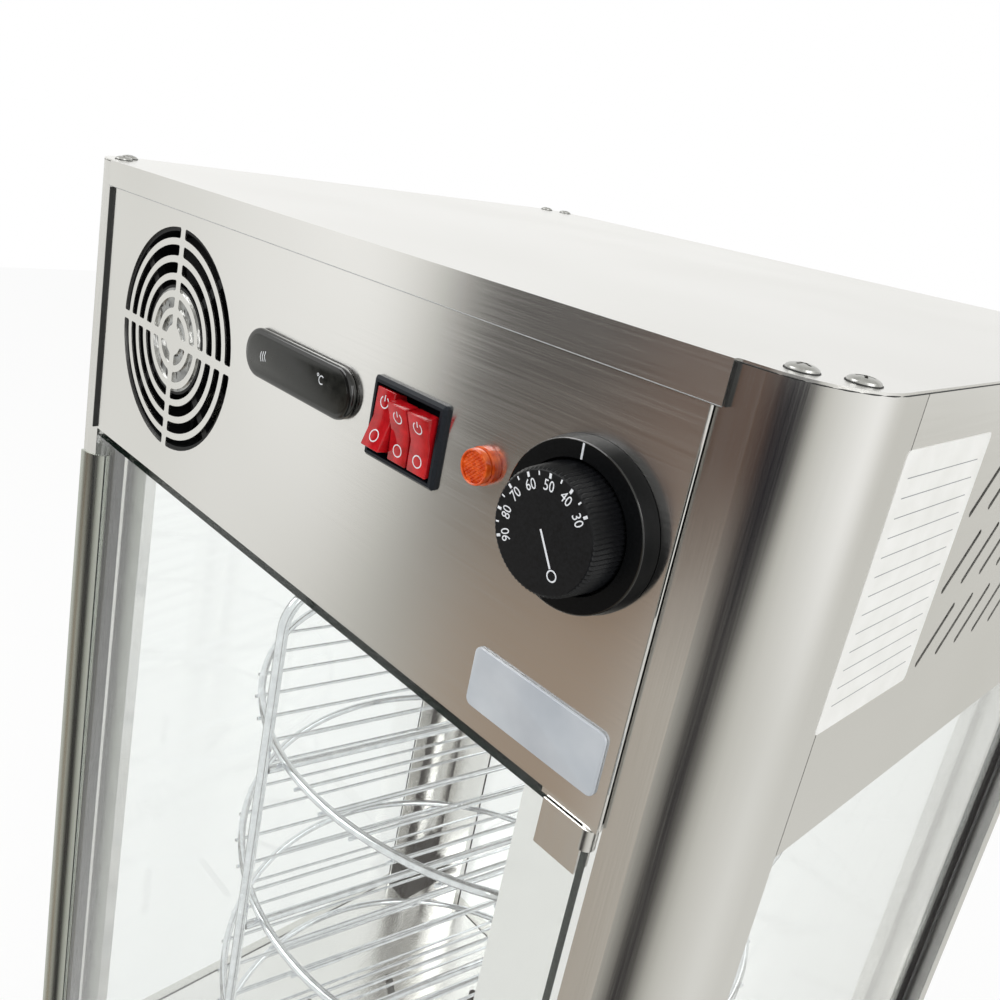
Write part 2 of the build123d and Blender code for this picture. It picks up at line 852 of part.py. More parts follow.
def thermostat_body():
    """Square housing of the capillary thermostat with its mounting bridge and terminals."""
    size = thermostat_size
    depth = thermostat_depth
    top = -sheet
    body = extrude(RectangleRounded(size, size, 3), -depth)
    body = Pos(0, 0, top) * body
    body -= rod((0, 0, -thermostat_shaft_depth - 0.5), (0, 0, 5), thermostat_shaft_radius + running_clearance)
    for side in (-1, 1):
        body += Pos(side * size / 4, -size / 4, top - depth - 4) * Box(6.3, 0.8, 8)
    return facing(dial_x, dial_z) * body


def sensor_line():
    """Capillary from the thermostat, over the ceiling and down to the bulb in the cabin."""
    line_z = head_z + dial_z
    start = (capillary_x, front_y + sheet + thermostat_depth, line_z)
    bulb_start = (bulb_x, bulb_y, bulb_z)
    bulb_end = (bulb_x - bulb_length, bulb_y, bulb_z)
    corners = (start, (capillary_x, bulb_y, line_z), (capillary_x, bulb_y, bulb_z), bulb_start)
    path = FilletPolyline(*corners, radius=capillary_bend)
    section = Plane(origin=start, z_dir=(0, 1, 0)) * RegularPolygon(capillary_radius, wire_sides)
    return sweep(section, path=path) + rod(bulb_start, bulb_end, bulb_radius, head_sides)


def bulb_clips():
    """Two saddles under the ceiling that hold the sensor bulb."""
    half = bulb_clip_width / 2
    clips = []
    for offset in (bulb_clip_from_end, bulb_length - bulb_clip_from_end):
        x = bulb_x - offset
        web = block(x - half, x + half, bulb_y - half, bulb_y + half, bulb_z - 1, ceiling_z)
        clips.append(web - rod((x - half, bulb_y, bulb_z), (x + half, bulb_y, bulb_z), bulb_radius, head_sides))
    return clips


def ceiling_plate():
    plate = notched_plate(ceiling_z, ceiling_z + sheet)
    plate -= disc(0, rack_y, head_z, roof_z, top_pin_radius + bush_wall)
    plate -= disc(lamp_x, lamp_y, head_z, roof_z, lamp_cup_radius)
    return plate - upright(capillary_x, bulb_y, head_z, roof_z, capillary_radius + 2)


def floor_plate():
    """Cabin floor with slots for the hot air round the drive."""
    plate = notched_plate(floor_z, floor_top)
    plate -= disc(0, rack_y, base_z, head_z, drive_spigot_radius + bush_wall)
    slots = Sketch()
    for number in range(floor_slots):
        angle = 360 / floor_slots * number
        slots += Rot(0, 0, angle) * Pos(floor_slot_radius, 0) * slot_outline(floor_slot_length, floor_slot_width)
    return plate - extrude(Pos(0, rack_y, floor_z) * slots, 5, both=True)


def base_pan():
    """Bottom tray with cooling slots under the motor."""
    pan = notched_plate(base_z + sheet, base_z + 2 * sheet)
    slots = Sketch()
    for x in (-pan_slot_x, pan_slot_x):
        for row in range(pan_slots):
            y = rack_y + (row - (pan_slots - 1) / 2) * pan_slot_pitch
            slots += Pos(x, y) * slot_outline(pan_slot_length, pan_slot_width)
    return pan - extrude(Pos(0, 0, base_z) * slots, 6, both=True)


def rack_point(across, along, z):
    """A point given in the rack's own directions, across and along its wires."""
    turn = math.radians(rack_turn)
    x = across * math.cos(turn) - along * math.sin(turn)
    y = across * math.sin(turn) + along * math.cos(turn)
    return (x, rack_y + y, z)


def hoop_levels():
    return floor_z + hoop_foot_height, head_z - hoop_head_drop


def ring_of_rod(radius, rod_radius):
    """A ring bent from rod, lying flat."""
    return revolve(Plane.XZ * Pos(radius, 0) * RegularPolygon(rod_radius, rod_sides), Axis.Z)


def rack_hoop():
    """Closed frame of thick rod: a bar below, two uprights and a bar above, with four bends."""
    low, high = hoop_levels()
    bend = hoop_bend
    straight = hoop_radius - bend
    hoop = rod((0, -straight, low), (0, straight, low), hoop_rod, rod_sides)
    hoop += rod((0, -straight, high), (0, straight, high), hoop_rod, rod_sides)
    ring = Rot(0, 90, 0) * ring_of_rod(bend, hoop_rod)
    for side in (-1, 1):
        y = side * hoop_radius
        hoop += rod((0, y, low + bend), (0, y, high - bend), hoop_rod, rod_sides)
        for level, up in ((low, 1), (high, -1)):
            y0, y1 = sorted((0, side * bend * 2))
            z0, z1 = sorted((0, -up * bend * 2))
            hoop += Pos(0, side * straight, level + up * bend) * (ring & block(-bend, bend, y0, y1, z0, z1))
    return Pos(0, rack_y, 0) * Rot(0, 0, rack_turn) * hoop


def tier(number):
    """Round tier: rim of rod, the centre bar that joins the hoop, and thin parallel wires below the rim."""
    z = head_z - tier_first_drop - number * tier_pitch
    centre_radius = ring_outer_radius - ring_rod
    pieces = [Pos(0, rack_y, z) * ring_of_rod(centre_radius, ring_rod)]
    bar_z = z - ring_rod - centre_bar_rod
    reach = hoop_radius - hoop_rod
    pieces.append(rod(rack_point(0, -reach, bar_z), rack_point(0, reach, bar_z), centre_bar_rod, rod_sides))
    wire_z = z - ring_rod - grid_wire
    per_side = int(centre_radius // grid_pitch)
    for wire in range(1, per_side + 1):
        for across in (-wire * grid_pitch, wire * grid_pitch):
            along = math.sqrt(ring_outer_radius**2 - across**2) + grid_overhang
            start = rack_point(across, -along, wire_z)
            pieces.append(rod(start, rack_point(across, along, wire_z), grid_wire, wire_sides))
    return Compound(children=pieces)


def motor_level():
    return floor_z - motor_bracket_drop


def drive_hub():
    """Drive piece: motor shaft, spigot in the floor bush, flange over it, and a slotted boss for the hoop."""
    low = hoop_levels()[0]
    flange_z = floor_top + bush_flange_thickness + seal_gap
    boss_top = low + hoop_rod
    hub = disc(0, 0, motor_level() + 4, flange_z, drive_spigot_radius)
    hub += disc(0, 0, flange_z, flange_z + drive_flange_thickness, drive_flange_radius)
    hub += disc(0, 0, flange_z, boss_top, drive_boss_radius)
    hub += disc(0, 0, motor_level() - 8, motor_level() + 4, motor_shaft_radius)
    slot = block(-hoop_rod, hoop_rod, -50, 50, low, boss_top + 1)
    slot += rod((0, -50, low), (0, 50, low), hoop_rod, rod_sides)
    return Pos(0, rack_y, 0) * Rot(0, 0, rack_turn) * (hub - slot)


def top_spindle():
    """Boss through which the upper bar runs, and the pin that turns in the ceiling bush."""
    high = hoop_levels()[1]
    boss_top = high + top_boss_height / 2
    spindle = disc(0, 0, high - top_boss_height / 2, boss_top, top_boss_radius)
    spindle += disc(0, 0, boss_top, ceiling_z + sheet + 4, top_pin_radius)
    spindle -= rod((0, -50, high), (0, 50, high), hoop_rod, rod_sides)
    return Pos(0, rack_y, 0) * Rot(0, 0, rack_turn) * spindle


def bush(bore_radius, plate_z, up):
    """Flanged bush in a plate; up is the side of the plate where its flange lies."""
    inner = bore_radius + running_clearance
    outer = bore_radius + bush_wall
    face = plate_z + (sheet if up > 0 else 0)
    flange = sorted((face, face + up * bush_flange_thickness))
    body = sorted((face, face - up * (sheet + 3)))
    piece = disc(0, rack_y, body[0], body[1], outer)
    piece += disc(0, rack_y, flange[0], flange[1], outer + bush_flange)
    return piece - disc(0, rack_y, body[0] - 9, body[1] + 9, inner)


def gear_motor():
    """Gearbox under the bracket with the round motor below it and its terminal block."""
    top = motor_level()
    box_bottom = top - gearbox_height
    motor = disc(0, rack_y, box_bottom, top, gearbox_radius)
    motor += disc(0, rack_y, box_bottom - motor_height, box_bottom, motor_radius)
    for side in (-1, 1):
        x0, x1 = sorted((side * (gearbox_radius - 4), side * (gearbox_radius + 8)))
        motor += block(x0, x1, rack_y - 7, rack_y + 7, top - 3, top)
    low = box_bottom - motor_height
    motor += block(-9, 9, rack_y + motor_radius - 3, rack_y + motor_radius + 7, low + 8, low + 24)
    return motor - disc(0, rack_y, top - 8.5, top + 1, motor_shaft_radius + running_clearance)


def motor_bracket():
    """Bridge of folded sheet that stands on the base pan and carries the gear motor."""
    x = motor_bracket_width / 2
    y0 = rack_y - motor_bracket_depth / 2
    y1 = rack_y + motor_bracket_depth / 2
    t = motor_bracket_sheet
    top = motor_level()
    foot = base_z + 2 * sheet
    bridge = block(-x, x, y0, y1, top, top + t)
    for side in (-1, 1):
        leg = sorted((side * x, side * (x - t)))
        bridge += block(leg[0], leg[1], y0, y1, foot, top + t)
        tab = sorted((side * (x - t), side * (x + motor_bracket_foot)))
        bridge += block(tab[0], tab[1], y0, y1, foot, foot + t)
    return bridge - disc(0, rack_y, foot, floor_z, drive_spigot_radius + 1)


def element_points():
    """Route of the heating element, from one end round the motor to the other."""
    z = base_z + element_height
    left = [
        (-element_end_x, element_rear_y, z),
        (-element_outer_x, element_rear_y, z),
        (-element_outer_x, element_front_y, z),
        (-element_inner_x, element_front_y, z),
        (-element_inner_x, element_inner_y, z),
    ]
    right = [(-x, y, level) for x, y, level in reversed(left)]
    return left + right


def heating_element():
    points = element_points()
    path = FilletPolyline(*points, radius=element_bend)
    section = Plane(origin=points[0], z_dir=(-1, 0, 0)) * RegularPolygon(element_radius, rod_sides)
    return sweep(section, path=path)


def element_supports():
    """Saddles that carry the element over the base pan, and the block at its two ends."""
    z = base_z + element_height
    pan_top = base_z + 2 * sheet
    supports = []
    for x in (-element_outer_x, -element_inner_x, element_inner_x, element_outer_x):
        web = block(x - 7, x + 7, -4, 4, pan_top, z)
        foot = block(x - 7, x + 7, -12, 12, pan_top, pan_top + 2)
        supports.append(web + foot - rod((x, -20, z), (x, 20, z), element_radius, head_sides))
    x = element_end_x
    y = element_rear_y
    supports.append(block(-x, x, y - 9, y + 9, pan_top, z + 9))
    return supports


def lamp_housing():
    """Cup above the ceiling with the lampholder in it."""
    wall = lamp_cup_wall
    top = ceiling_z + sheet + lamp_cup_height
    cup = disc(0, 0, ceiling_z + sheet, ceiling_z + 2 * sheet, lamp_rim_radius)
    cup += disc(0, 0, ceiling_z + sheet, top, lamp_cup_radius)
    cup -= disc(0, 0, ceiling_z, top - wall, lamp_cup_radius - wall)
    cup += disc(0, 0, top - lamp_holder_drop, top - wall, lamp_holder_radius)
    return Pos(lamp_x, lamp_y, 0) * cup


def lamp_bulb():
    """Small round bulb, glass and cap turned as one piece."""
    top = ceiling_z + sheet + lamp_cup_height - lamp_holder_drop
    radius = lamp_globe_radius
    neck = lamp_neck_radius
    globe = top - lamp_globe_drop
    turn = math.acos(neck / radius)
    shoulder = globe + radius * math.sin(turn)
    outline = Plane.XZ * make_face(
        [
            Polyline((0, globe - radius), (0, top), (neck, top), (neck, shoulder)),
            ThreePointArc((neck, shoulder), (radius, globe), (0, globe - radius)),
        ]
    )
    return Pos(lamp_x, lamp_y, 0) * revolve(outline, Axis.Z)


def cap_arc(radius, rim, drop):
    """Arc of a shallow dish from its rim down to its middle, in radius and height."""
    ball = (radius**2 + drop**2) / (2 * drop)
    x = radius * 0.7
    z = rim - drop + ball - math.sqrt(ball**2 - x**2)
    return ThreePointArc((radius, rim), (x, z), (0, rim - drop))


def lamp_dome():
    """Pressed glass dish with a flat rim under the ceiling."""
    top = ceiling_z
    rim = top - lamp_rim_thickness
    outer = lamp_cup_radius - 1
    wall = lamp_glass_wall
    inner = outer - wall
    low = rim - lamp_dome_drop
    outline = Plane.XZ * make_face(
        [
            Polyline((inner, top), (lamp_rim_radius, top), (lamp_rim_radius, rim), (outer, rim)),
            cap_arc(outer, rim, lamp_dome_drop),
            Line((0, low), (0, low + wall)),
            cap_arc(inner, top, top - low - wall),
        ]
    )
    return Pos(lamp_x, lamp_y, 0) * revolve(outline, Axis.Z)


def cord_gland():
    """Hexagon, domed nut and bore of the cord entry on the rear panel."""
    hexagon = extrude(RegularPolygon(gland_radius, 6), 5)
    dome = revolved(
        [
            (0, 5),
            (gland_radius - 2, 5),
            (gland_radius - 2, 11),
            (gland_radius - 4, gland_length),
            (0, gland_length),
        ]
    )
    barrel = rod((0, 0, -12), (0, 0, 0), gland_radius - 2)
    piece = hexagon + dome + barrel - rod((0, 0, -20), (0, 0, gland_length + 1), gland_bore_radius)
    return Plane(gland_point(0), x_dir=(-1, 0, 0), z_dir=(0, 1, 0)) * piece


def terminal_block():
    """Block with a row of screw wells, fixed to the ceiling plate behind the cord entry."""
    x0 = gland_x - terminal_length / 2
    y1 = -front_y - terminal_from_rear
    z0 = ceiling_z + sheet
    top = z0 + terminal_height
    piece = block(x0, x0 + terminal_length, y1 - terminal_depth, y1, z0, top)
    pitch = terminal_length / terminal_wells
    for well in range(terminal_wells):
        x = x0 + pitch * (well + 0.5)
        for y in (y1 - terminal_depth + terminal_well_from_edge, y1 - terminal_well_from_edge):
            piece -= upright(x, y, top - terminal_well_depth, top + 1, terminal_well_radius)
    return piece


right_post = corner_post()
rear_right_strip = behind(stop_strip(rear_strip_right, 0, 0))
rear_left_strip = left_of(behind(stop_strip(rear_strip_left, stop_joggle_at, stop_hem)))
front_stop = stop_strip(stop_width, stop_joggle_at, stop_hem)
front_posts = [right_post, left_of(right_post)]
save("front_posts", Compound(children=front_posts))
save("rear_posts", Compound(children=[behind(one) for one in front_posts]))
save("door_stop_right", front_stop)
save("door_stop_left", left_of(front_stop))
save("rear_strips", Compound(children=[rear_left_strip, rear_right_strip]))

base_front = front_sheet(base_z, floor_z, (base_z, floor_z - sheet))
base_side = side_sheet(base_z, floor_z, (base_z, floor_z - sheet))
save("base_pan", base_pan())
save("base_front_panel", base_front)
save("base_rear_panel", behind(base_front))
save("base_side_panels", Compound(children=[base_side, left_of(base_side)]))
save("floor_plate", floor_plate())
save("rubber_feet", Compound(children=all_corners(rubber_foot())))

head_side = header_side()
save("header_front_panel", header_front())
save("header_side_panels", Compound(children=[head_side, left_of(head_side)]))
save("header_rear_panel", header_rear())
save("ceiling_plate", ceiling_plate())
save("top_cover", top_cover())
screws = []
for screw_x, screw_y in screw_places():
    screws += all_corners(cover_screw(screw_x, screw_y))
save("cover_screws", Compound(children=screws))

right_pane = side_pane()
save("right_glass", right_pane)
save("left_glass", left_of(right_pane))
save("rear_glass", rear_pane())
save("glass_bedding", Compound(children=bedding_strips()))

save("door_glass", door_glass())
save("door_pull", door_pull())
save("door_clamps", Compound(children=[door_clamp(head_z, -1), door_clamp(floor_z, 1)]))
save("pivot_brackets", Compound(children=[pivot_piece(head_z, -1), pivot_piece(floor_z, 1)]))
save("door_seal", door_seal())

save("fan_frame", fan_frame())
save("fan_rotor", fan_rotor())
save("display_body", display_body())
save("display_lens", display_lens())
save("switch_housing", switch_housing())
rocker_tilts = (-rocker_tilt, rocker_tilt, rocker_tilt)
for rocker_number, rocker_angle in enumerate(rocker_tilts):
    save(f"rocker_{rocker_number + 1}", rocker(rocker_number, rocker_angle))
save("pilot_body", pilot_body())
save("pilot_lens", pilot_lens())
save("dial_bezel", dial_bezel())
save("thermostat_knob", knob())
save("thermostat_shaft", thermostat_shaft())
save("thermostat_body", thermostat_body())
save("sensor_line", sensor_line())
save("bulb_clips", Compound(children=bulb_clips()))

save("rack_hoop", rack_hoop())
for tier_number in range(tier_count):
    save(f"rack_tier_{tier_number + 1}", tier(tier_number))
save("drive_hub", drive_hub())
save("top_spindle", top_spindle())
floor_bush = bush(drive_spigot_radius, floor_z, 1)
ceiling_bush = bush(top_pin_radius, ceiling_z, -1)
save("rack_bushes", Compound(children=[floor_bush, ceiling_bush]))
save("gear_motor", gear_motor())
save("motor_bracket", motor_bracket())
save("heating_element", heating_element())
save("element_supports", Compound(children=element_supports()))
save("lamp_housing", lamp_housing())
save("lamp_bulb", lamp_bulb())
save("lamp_dome", lamp_dome())
save("cord_gland", cord_gland())
save("terminal_block", terminal_block())
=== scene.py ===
# %% [markdown]
# # A pizza warmer display
# The cabinet's solid parts come from the CAD model at their real size, and stay where they are. This
# lesson gives each its finish, adds what a solid model leaves out, such as the print on the knob and the
# recess in a screw, and then sets up the light and the camera.

# %% Load the parts
import json
import math

import bmesh
import bpy
from mathutils import Matrix, Vector


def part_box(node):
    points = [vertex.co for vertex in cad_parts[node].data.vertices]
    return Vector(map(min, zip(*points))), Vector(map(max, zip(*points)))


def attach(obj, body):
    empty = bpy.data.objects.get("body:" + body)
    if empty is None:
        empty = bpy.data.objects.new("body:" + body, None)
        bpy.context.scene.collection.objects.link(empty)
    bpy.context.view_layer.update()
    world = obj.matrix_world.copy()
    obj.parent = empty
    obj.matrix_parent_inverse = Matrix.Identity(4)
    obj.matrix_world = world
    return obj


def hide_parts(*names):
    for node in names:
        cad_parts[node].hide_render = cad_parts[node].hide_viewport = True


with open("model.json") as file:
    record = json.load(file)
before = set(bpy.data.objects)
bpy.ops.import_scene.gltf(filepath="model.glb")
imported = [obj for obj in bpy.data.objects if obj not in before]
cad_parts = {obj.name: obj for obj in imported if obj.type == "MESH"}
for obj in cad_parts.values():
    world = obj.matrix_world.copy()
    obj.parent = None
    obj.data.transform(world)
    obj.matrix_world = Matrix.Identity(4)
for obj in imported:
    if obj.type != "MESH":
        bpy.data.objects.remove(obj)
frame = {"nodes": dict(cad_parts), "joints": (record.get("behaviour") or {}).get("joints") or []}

MM = 0.001
nodes = frame["nodes"]
joints = {joint["name"]: joint for joint in frame["joints"]}
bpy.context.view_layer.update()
print(len(nodes), "parts loaded")

# %% [markdown]
# ## One way to write a colour and one way to add a node
# Colours are picked as sRGB hex values, the way a paint chart gives them. Blender's shaders work in
# linear light, so one function turns the first into the second. Every pattern below is a small net of
# nodes, and one function adds a node, sets what it needs and links it. A Mix node that is set to colours
# takes them at its sockets 6 and 7, and gives the result at 2.

# %% Colour and node helpers
COLOUR_MIX = {"data_type": "RGBA"}


def linear(hex_colour):
    """Linear colour with full opacity from an sRGB hex value."""
    channels = [int(hex_colour[start:start + 2], 16) / 255 for start in (1, 3, 5)]
    return tuple(c / 12.92 if c <= 0.04045 else ((c + 0.055) / 1.055) ** 2.4 for c in channels) + (1.0,)


def add(tree, kind, settings=None, links=None):
    """Add a node. Settings and links go by name or number, and a linked node gives its first output."""
    node = tree.nodes.new(kind)
    for key, value in (settings or {}).items():
        if isinstance(key, str) and hasattr(node, key):
            setattr(node, key, value)
        else:
            node.inputs[key].default_value = value
    for key, source in (links or {}).items():
        output = source.outputs[0] if isinstance(source, bpy.types.Node) else source
        tree.links.new(output, node.inputs[key])
    return node


def new_material(name, colour, roughness, metallic=0.0, **sockets):
    """A Principled material. What is even all over the surface is set on the shader's own sockets."""
    material = bpy.data.materials.new(name)
    material.use_nodes = True
    shader = material.node_tree.nodes["Principled BSDF"]
    sockets.update(Base_Color=linear(colour), Roughness=roughness, Metallic=metallic)
    for socket, value in sockets.items():
        shader.inputs[socket.replace("_", " ")].default_value = value
    material.diffuse_color = linear(colour)
    return material


# %% [markdown]
# ## A pattern with a real size
# Most finishes differ from a flat colour in three ways: the colour drifts a little, the gloss varies, and
# the surface isn't quite flat. One noise pattern, whose cell size is given in millimetres and may be
# stretched along an axis, can drive any of the three. A brushed sheet is such a noise, stretched more
# than a hundred times along the brush stroke. Noise seldom leaves the middle of its range, so that part
# is spread out to the full one.

# %% Pattern helper
NOISE_RANGE = {"From Min": 0.3, "From Max": 0.7}


def pattern(material, cell_mm, colours=None, roughness=None, bump_mm=0.0, detail=3.0, stretch=(1, 1, 1)):
    """Drive colour, roughness or height by noise cells of a real size, stretched along the axes."""
    tree = material.node_tree
    shader = tree.nodes["Principled BSDF"]
    scale = tuple(1 / (cell_mm * MM * factor) for factor in stretch)
    place = add(tree, "ShaderNodeTexCoord")
    mapping = add(tree, "ShaderNodeMapping", {"Scale": scale}, {"Vector": place.outputs["Object"]})
    cells = {"Scale": 1.0, "Detail": detail}
    noise = add(tree, "ShaderNodeTexNoise", cells, {"Vector": mapping})
    level = add(tree, "ShaderNodeMapRange", NOISE_RANGE, {"Value": noise})
    if colours:
        ends = {**COLOUR_MIX, 6: linear(colours[0]), 7: linear(colours[1])}
        mix = add(tree, "ShaderNodeMix", ends, {0: level})
        tree.links.new(mix.outputs[2], shader.inputs["Base Color"])
    if roughness:
        limits = {"To Min": roughness[0], "To Max": roughness[1]}
        gloss = add(tree, "ShaderNodeMapRange", limits, {"Value": level})
        tree.links.new(gloss.outputs[0], shader.inputs["Roughness"])
    if bump_mm:
        bump = add(tree, "ShaderNodeBump", {"Distance": bump_mm * MM}, {"Height": level})
        tree.links.new(bump.outputs[0], shader.inputs["Normal"])
    return material


# %% [markdown]
# ## Brushed stainless steel
# The panels and posts are thin stainless sheet with a number 4 finish, made by a belt of about 150 grit.
# Its scratches are a few hundredths of a millimetre wide and run one way, which stretches every reflection
# across them. They are too fine to show at this distance, so the streaks are drawn 0.4 mm wide, and the
# shader's anisotropy does the stretching. Its tangent is the brush stroke, turned by a quarter, because
# a scratch blurs across itself. The belt runs along each sheet's length, so there is one material for
# each direction.

# %% Stainless steel
STEEL_STREAK_MM = 0.4
STEEL_SCRATCH_DEPTH_MM = 0.0001
STEEL_STROKE = 120
STEEL_CLOUD_MM = 140


def brushed_stainless(name, axis, smooth, rough):
    """Stainless sheet brushed along one axis, with its roughness between two values."""
    stretch = [1, 1, 1]
    stretch[axis] = STEEL_STROKE
    sockets = {"Anisotropic": 0.92, "Anisotropic_Rotation": 0.25}
    material = new_material(name, "#EDECEA", smooth, metallic=1.0, **sockets)
    tree = material.node_tree
    stroke = [0.0, 0.0, 0.0]
    stroke[axis] = 1.0
    turn = {"vector_type": "VECTOR", "convert_from": "OBJECT", "convert_to": "WORLD", "Vector": stroke}
    tangent = add(tree, "ShaderNodeVectorTransform", turn)
    tree.links.new(tangent.outputs[0], tree.nodes["Principled BSDF"].inputs["Tangent"])
    pattern(material, STEEL_STREAK_MM, None, (smooth, rough), STEEL_SCRATCH_DEPTH_MM, 2.0, stretch)
    return pattern(material, STEEL_CLOUD_MM, ("#E9E8E5", "#F0EFED"), detail=1.0)


steel_across = brushed_stainless("stainless_brushed_across", 0, 0.15, 0.2)
steel_deep = brushed_stainless("stainless_brushed_front_to_back", 1, 0.18, 0.26)
steel_upright = brushed_stainless("stainless_brushed_upright", 2, 0.14, 0.2)

# %% [markdown]
# ## Galvanised and plated steel
# The inner pieces are zinc-coated sheet, a duller grey with soft cloudy spangle. The cover's screws are
# plated too, but smoother and a little brighter.

# %% Zinc-coated sheet and plated screws
galvanised = new_material("zinc_coated_sheet", "#A9ABAC", 0.45, metallic=1.0)
pattern(galvanised, 7, ("#9FA2A4", "#B6B8B9"), roughness=(0.38, 0.52), detail=1.0)
plated = new_material("plated_screw_steel", "#B9B9B6", 0.3, metallic=1.0)
pattern(plated, 2, ("#AEAEAB", "#C4C4C1"), roughness=(0.24, 0.38))

# %% [markdown]
# ## Float glass
# The panes are clear float glass, with a polished edge on the door. Iron in the glass is only seen along
# the pane, so its faces are clear and its edges are dark green. The Normal output of the texture
# coordinates is fixed to the pane, so it tells a face from an edge however the door is turned.

# %% Glass
CLEAR = "#FCFEFD"
EDGE_GREEN = "#22302A"
EDGE_CLEARNESS = 0.35
FACE_LIMIT = 0.7
PANE_WAVE_MM = 160


def float_glass(name, face_axis):
    """Clear pane whose broad faces look along one axis, with coloured edges."""
    material = new_material(name, CLEAR, 0.0, IOR=1.5, Transmission_Weight=1.0)
    tree = material.node_tree
    shader = tree.nodes["Principled BSDF"]
    place = add(tree, "ShaderNodeTexCoord")
    parts = add(tree, "ShaderNodeSeparateXYZ", None, {0: place.outputs["Normal"]})
    facing = add(tree, "ShaderNodeMath", {"operation": "ABSOLUTE"}, {0: parts.outputs[face_axis]})
    broad = add(tree, "ShaderNodeMath", {"operation": "GREATER_THAN", 1: FACE_LIMIT}, {0: facing})
    ends = {**COLOUR_MIX, 6: linear(EDGE_GREEN), 7: linear(CLEAR)}
    tint = add(tree, "ShaderNodeMix", ends, {0: broad})
    tree.links.new(tint.outputs[2], shader.inputs["Base Color"])
    clearness = {"To Min": EDGE_CLEARNESS, "To Max": 1.0}
    through = add(tree, "ShaderNodeMapRange", clearness, {"Value": broad})
    tree.links.new(through.outputs[0], shader.inputs["Transmission Weight"])
    return pattern(material, PANE_WAVE_MM, bump_mm=0.01, detail=0.0)


glass_facing_front = float_glass("float_glass_facing_front", 1)
glass_facing_side = float_glass("float_glass_facing_side", 0)
pressed_glass = new_material("pressed_lamp_glass", "#F6F8F4", 0.08, IOR=1.5, Transmission_Weight=1.0)
pattern(pressed_glass, 6, roughness=(0.04, 0.14), bump_mm=0.05)

# %% [markdown]
# ## Aluminium
# The door pull is an extruded profile with a satin anodised skin. Anodising keeps the fine lines that the
# die leaves along the profile, and dulls the metal to a soft grey with a touch of green. The rack's
# hub and spindle are turned and left bare, which is brighter.

# %% Anodised and turned aluminium
anodised = new_material("anodised_aluminium", "#C8CCC5", 0.28, metallic=1.0)
pattern(anodised, 0.5, roughness=(0.2, 0.32), bump_mm=0.002, stretch=(1, 1, 200))
turned = new_material("turned_aluminium", "#C6C8C9", 0.24, metallic=1.0)
pattern(turned, 0.6, ("#BEC0C1", "#CFD1D2"), roughness=(0.18, 0.32), stretch=(30, 30, 1))

# %% [markdown]
# ## Chrome-plated wire
# The rack is welded from steel wire and then plated. The chrome is nearly a mirror, and a little milky
# at the welds, so its roughness wanders slightly over a few millimetres.

# %% Chrome
chrome = new_material("chrome_plated_wire", "#DDDFE1", 0.07, metallic=1.0)
pattern(chrome, 5, ("#D3D5D8", "#E6E8EA"), roughness=(0.04, 0.13))

# %% [markdown]
# ## Moulded plastics
# The fan, bezel, knob and switch frame are black ABS or nylon, moulded against a lightly eroded
# tool, which leaves a fine dull grain. The display's frame comes from a polished tool and is glossy.
# The rockers and the pilot lamp are dyed polycarbonate: light enters and comes back coloured.

# %% Plastics
GRAIN_MM = 0.9
GRAIN_DEPTH_MM = 0.006
GRAIN_GLOSS = 0.06


def moulded_black(name, dark, light, roughness, specular=0.25):
    """Black plastic with the fine grain of an eroded tool."""
    material = new_material(name, dark, roughness, IOR=1.5, Specular_IOR_Level=specular)
    gloss = (roughness - GRAIN_GLOSS, roughness + GRAIN_GLOSS)
    return pattern(material, GRAIN_MM, (dark, light), gloss, GRAIN_DEPTH_MM)


fan_plastic = moulded_black("moulded_fan_plastic", "#0E0F11", "#17181A", 0.5)
dial_plastic = moulded_black("moulded_dial_plastic", "#0D0E10", "#141518", 0.4)
bezel_plastic = moulded_black("moulded_bezel_plastic", "#0A0B0C", "#0F1012", 0.36, 0.12)
switch_plastic = moulded_black("moulded_switch_plastic", "#12171E", "#1A2028", 0.36)
gloss_plastic = new_material("polished_display_plastic", "#0E0F0F", 0.1, IOR=1.5, Coat_Weight=0.6)
pattern(gloss_plastic, 30, ("#0B0C0C", "#131413"), roughness=(0.07, 0.15))
smoked_lens = new_material("smoked_display_lens", "#1F201D", 0.2, IOR=1.49)
pattern(smoked_lens, 4, ("#161715", "#20211E"), roughness=(0.15, 0.28), bump_mm=0.01)
red_plastic = new_material("red_polycarbonate", "#C4121B", 0.12, IOR=1.5, Transmission_Weight=0.15)
pattern(red_plastic, 5, ("#A30A12", "#D41C25"), roughness=(0.07, 0.16))
orange_plastic = new_material("orange_polycarbonate", "#F25A1E", 0.1, IOR=1.5, Transmission_Weight=0.12)
pattern(orange_plastic, 2.5, ("#D8480F", "#F7702B"), roughness=(0.06, 0.14), detail=0.0)
nylon = new_material("natural_nylon", "#E4E2DA", 0.4, Subsurface_Weight=0.2)
pattern(nylon, 2, ("#DEDCD3", "#EAE8E1"), roughness=(0.34, 0.46))

# %% [markdown]
# ## Rubber, paint, copper, heater sheath and ceramic
# These lie inside or underneath. Rubber is dull and dusty, the motor's paint has a faint orange peel, and
# the heater's sheath has gone brown in bands from heat.

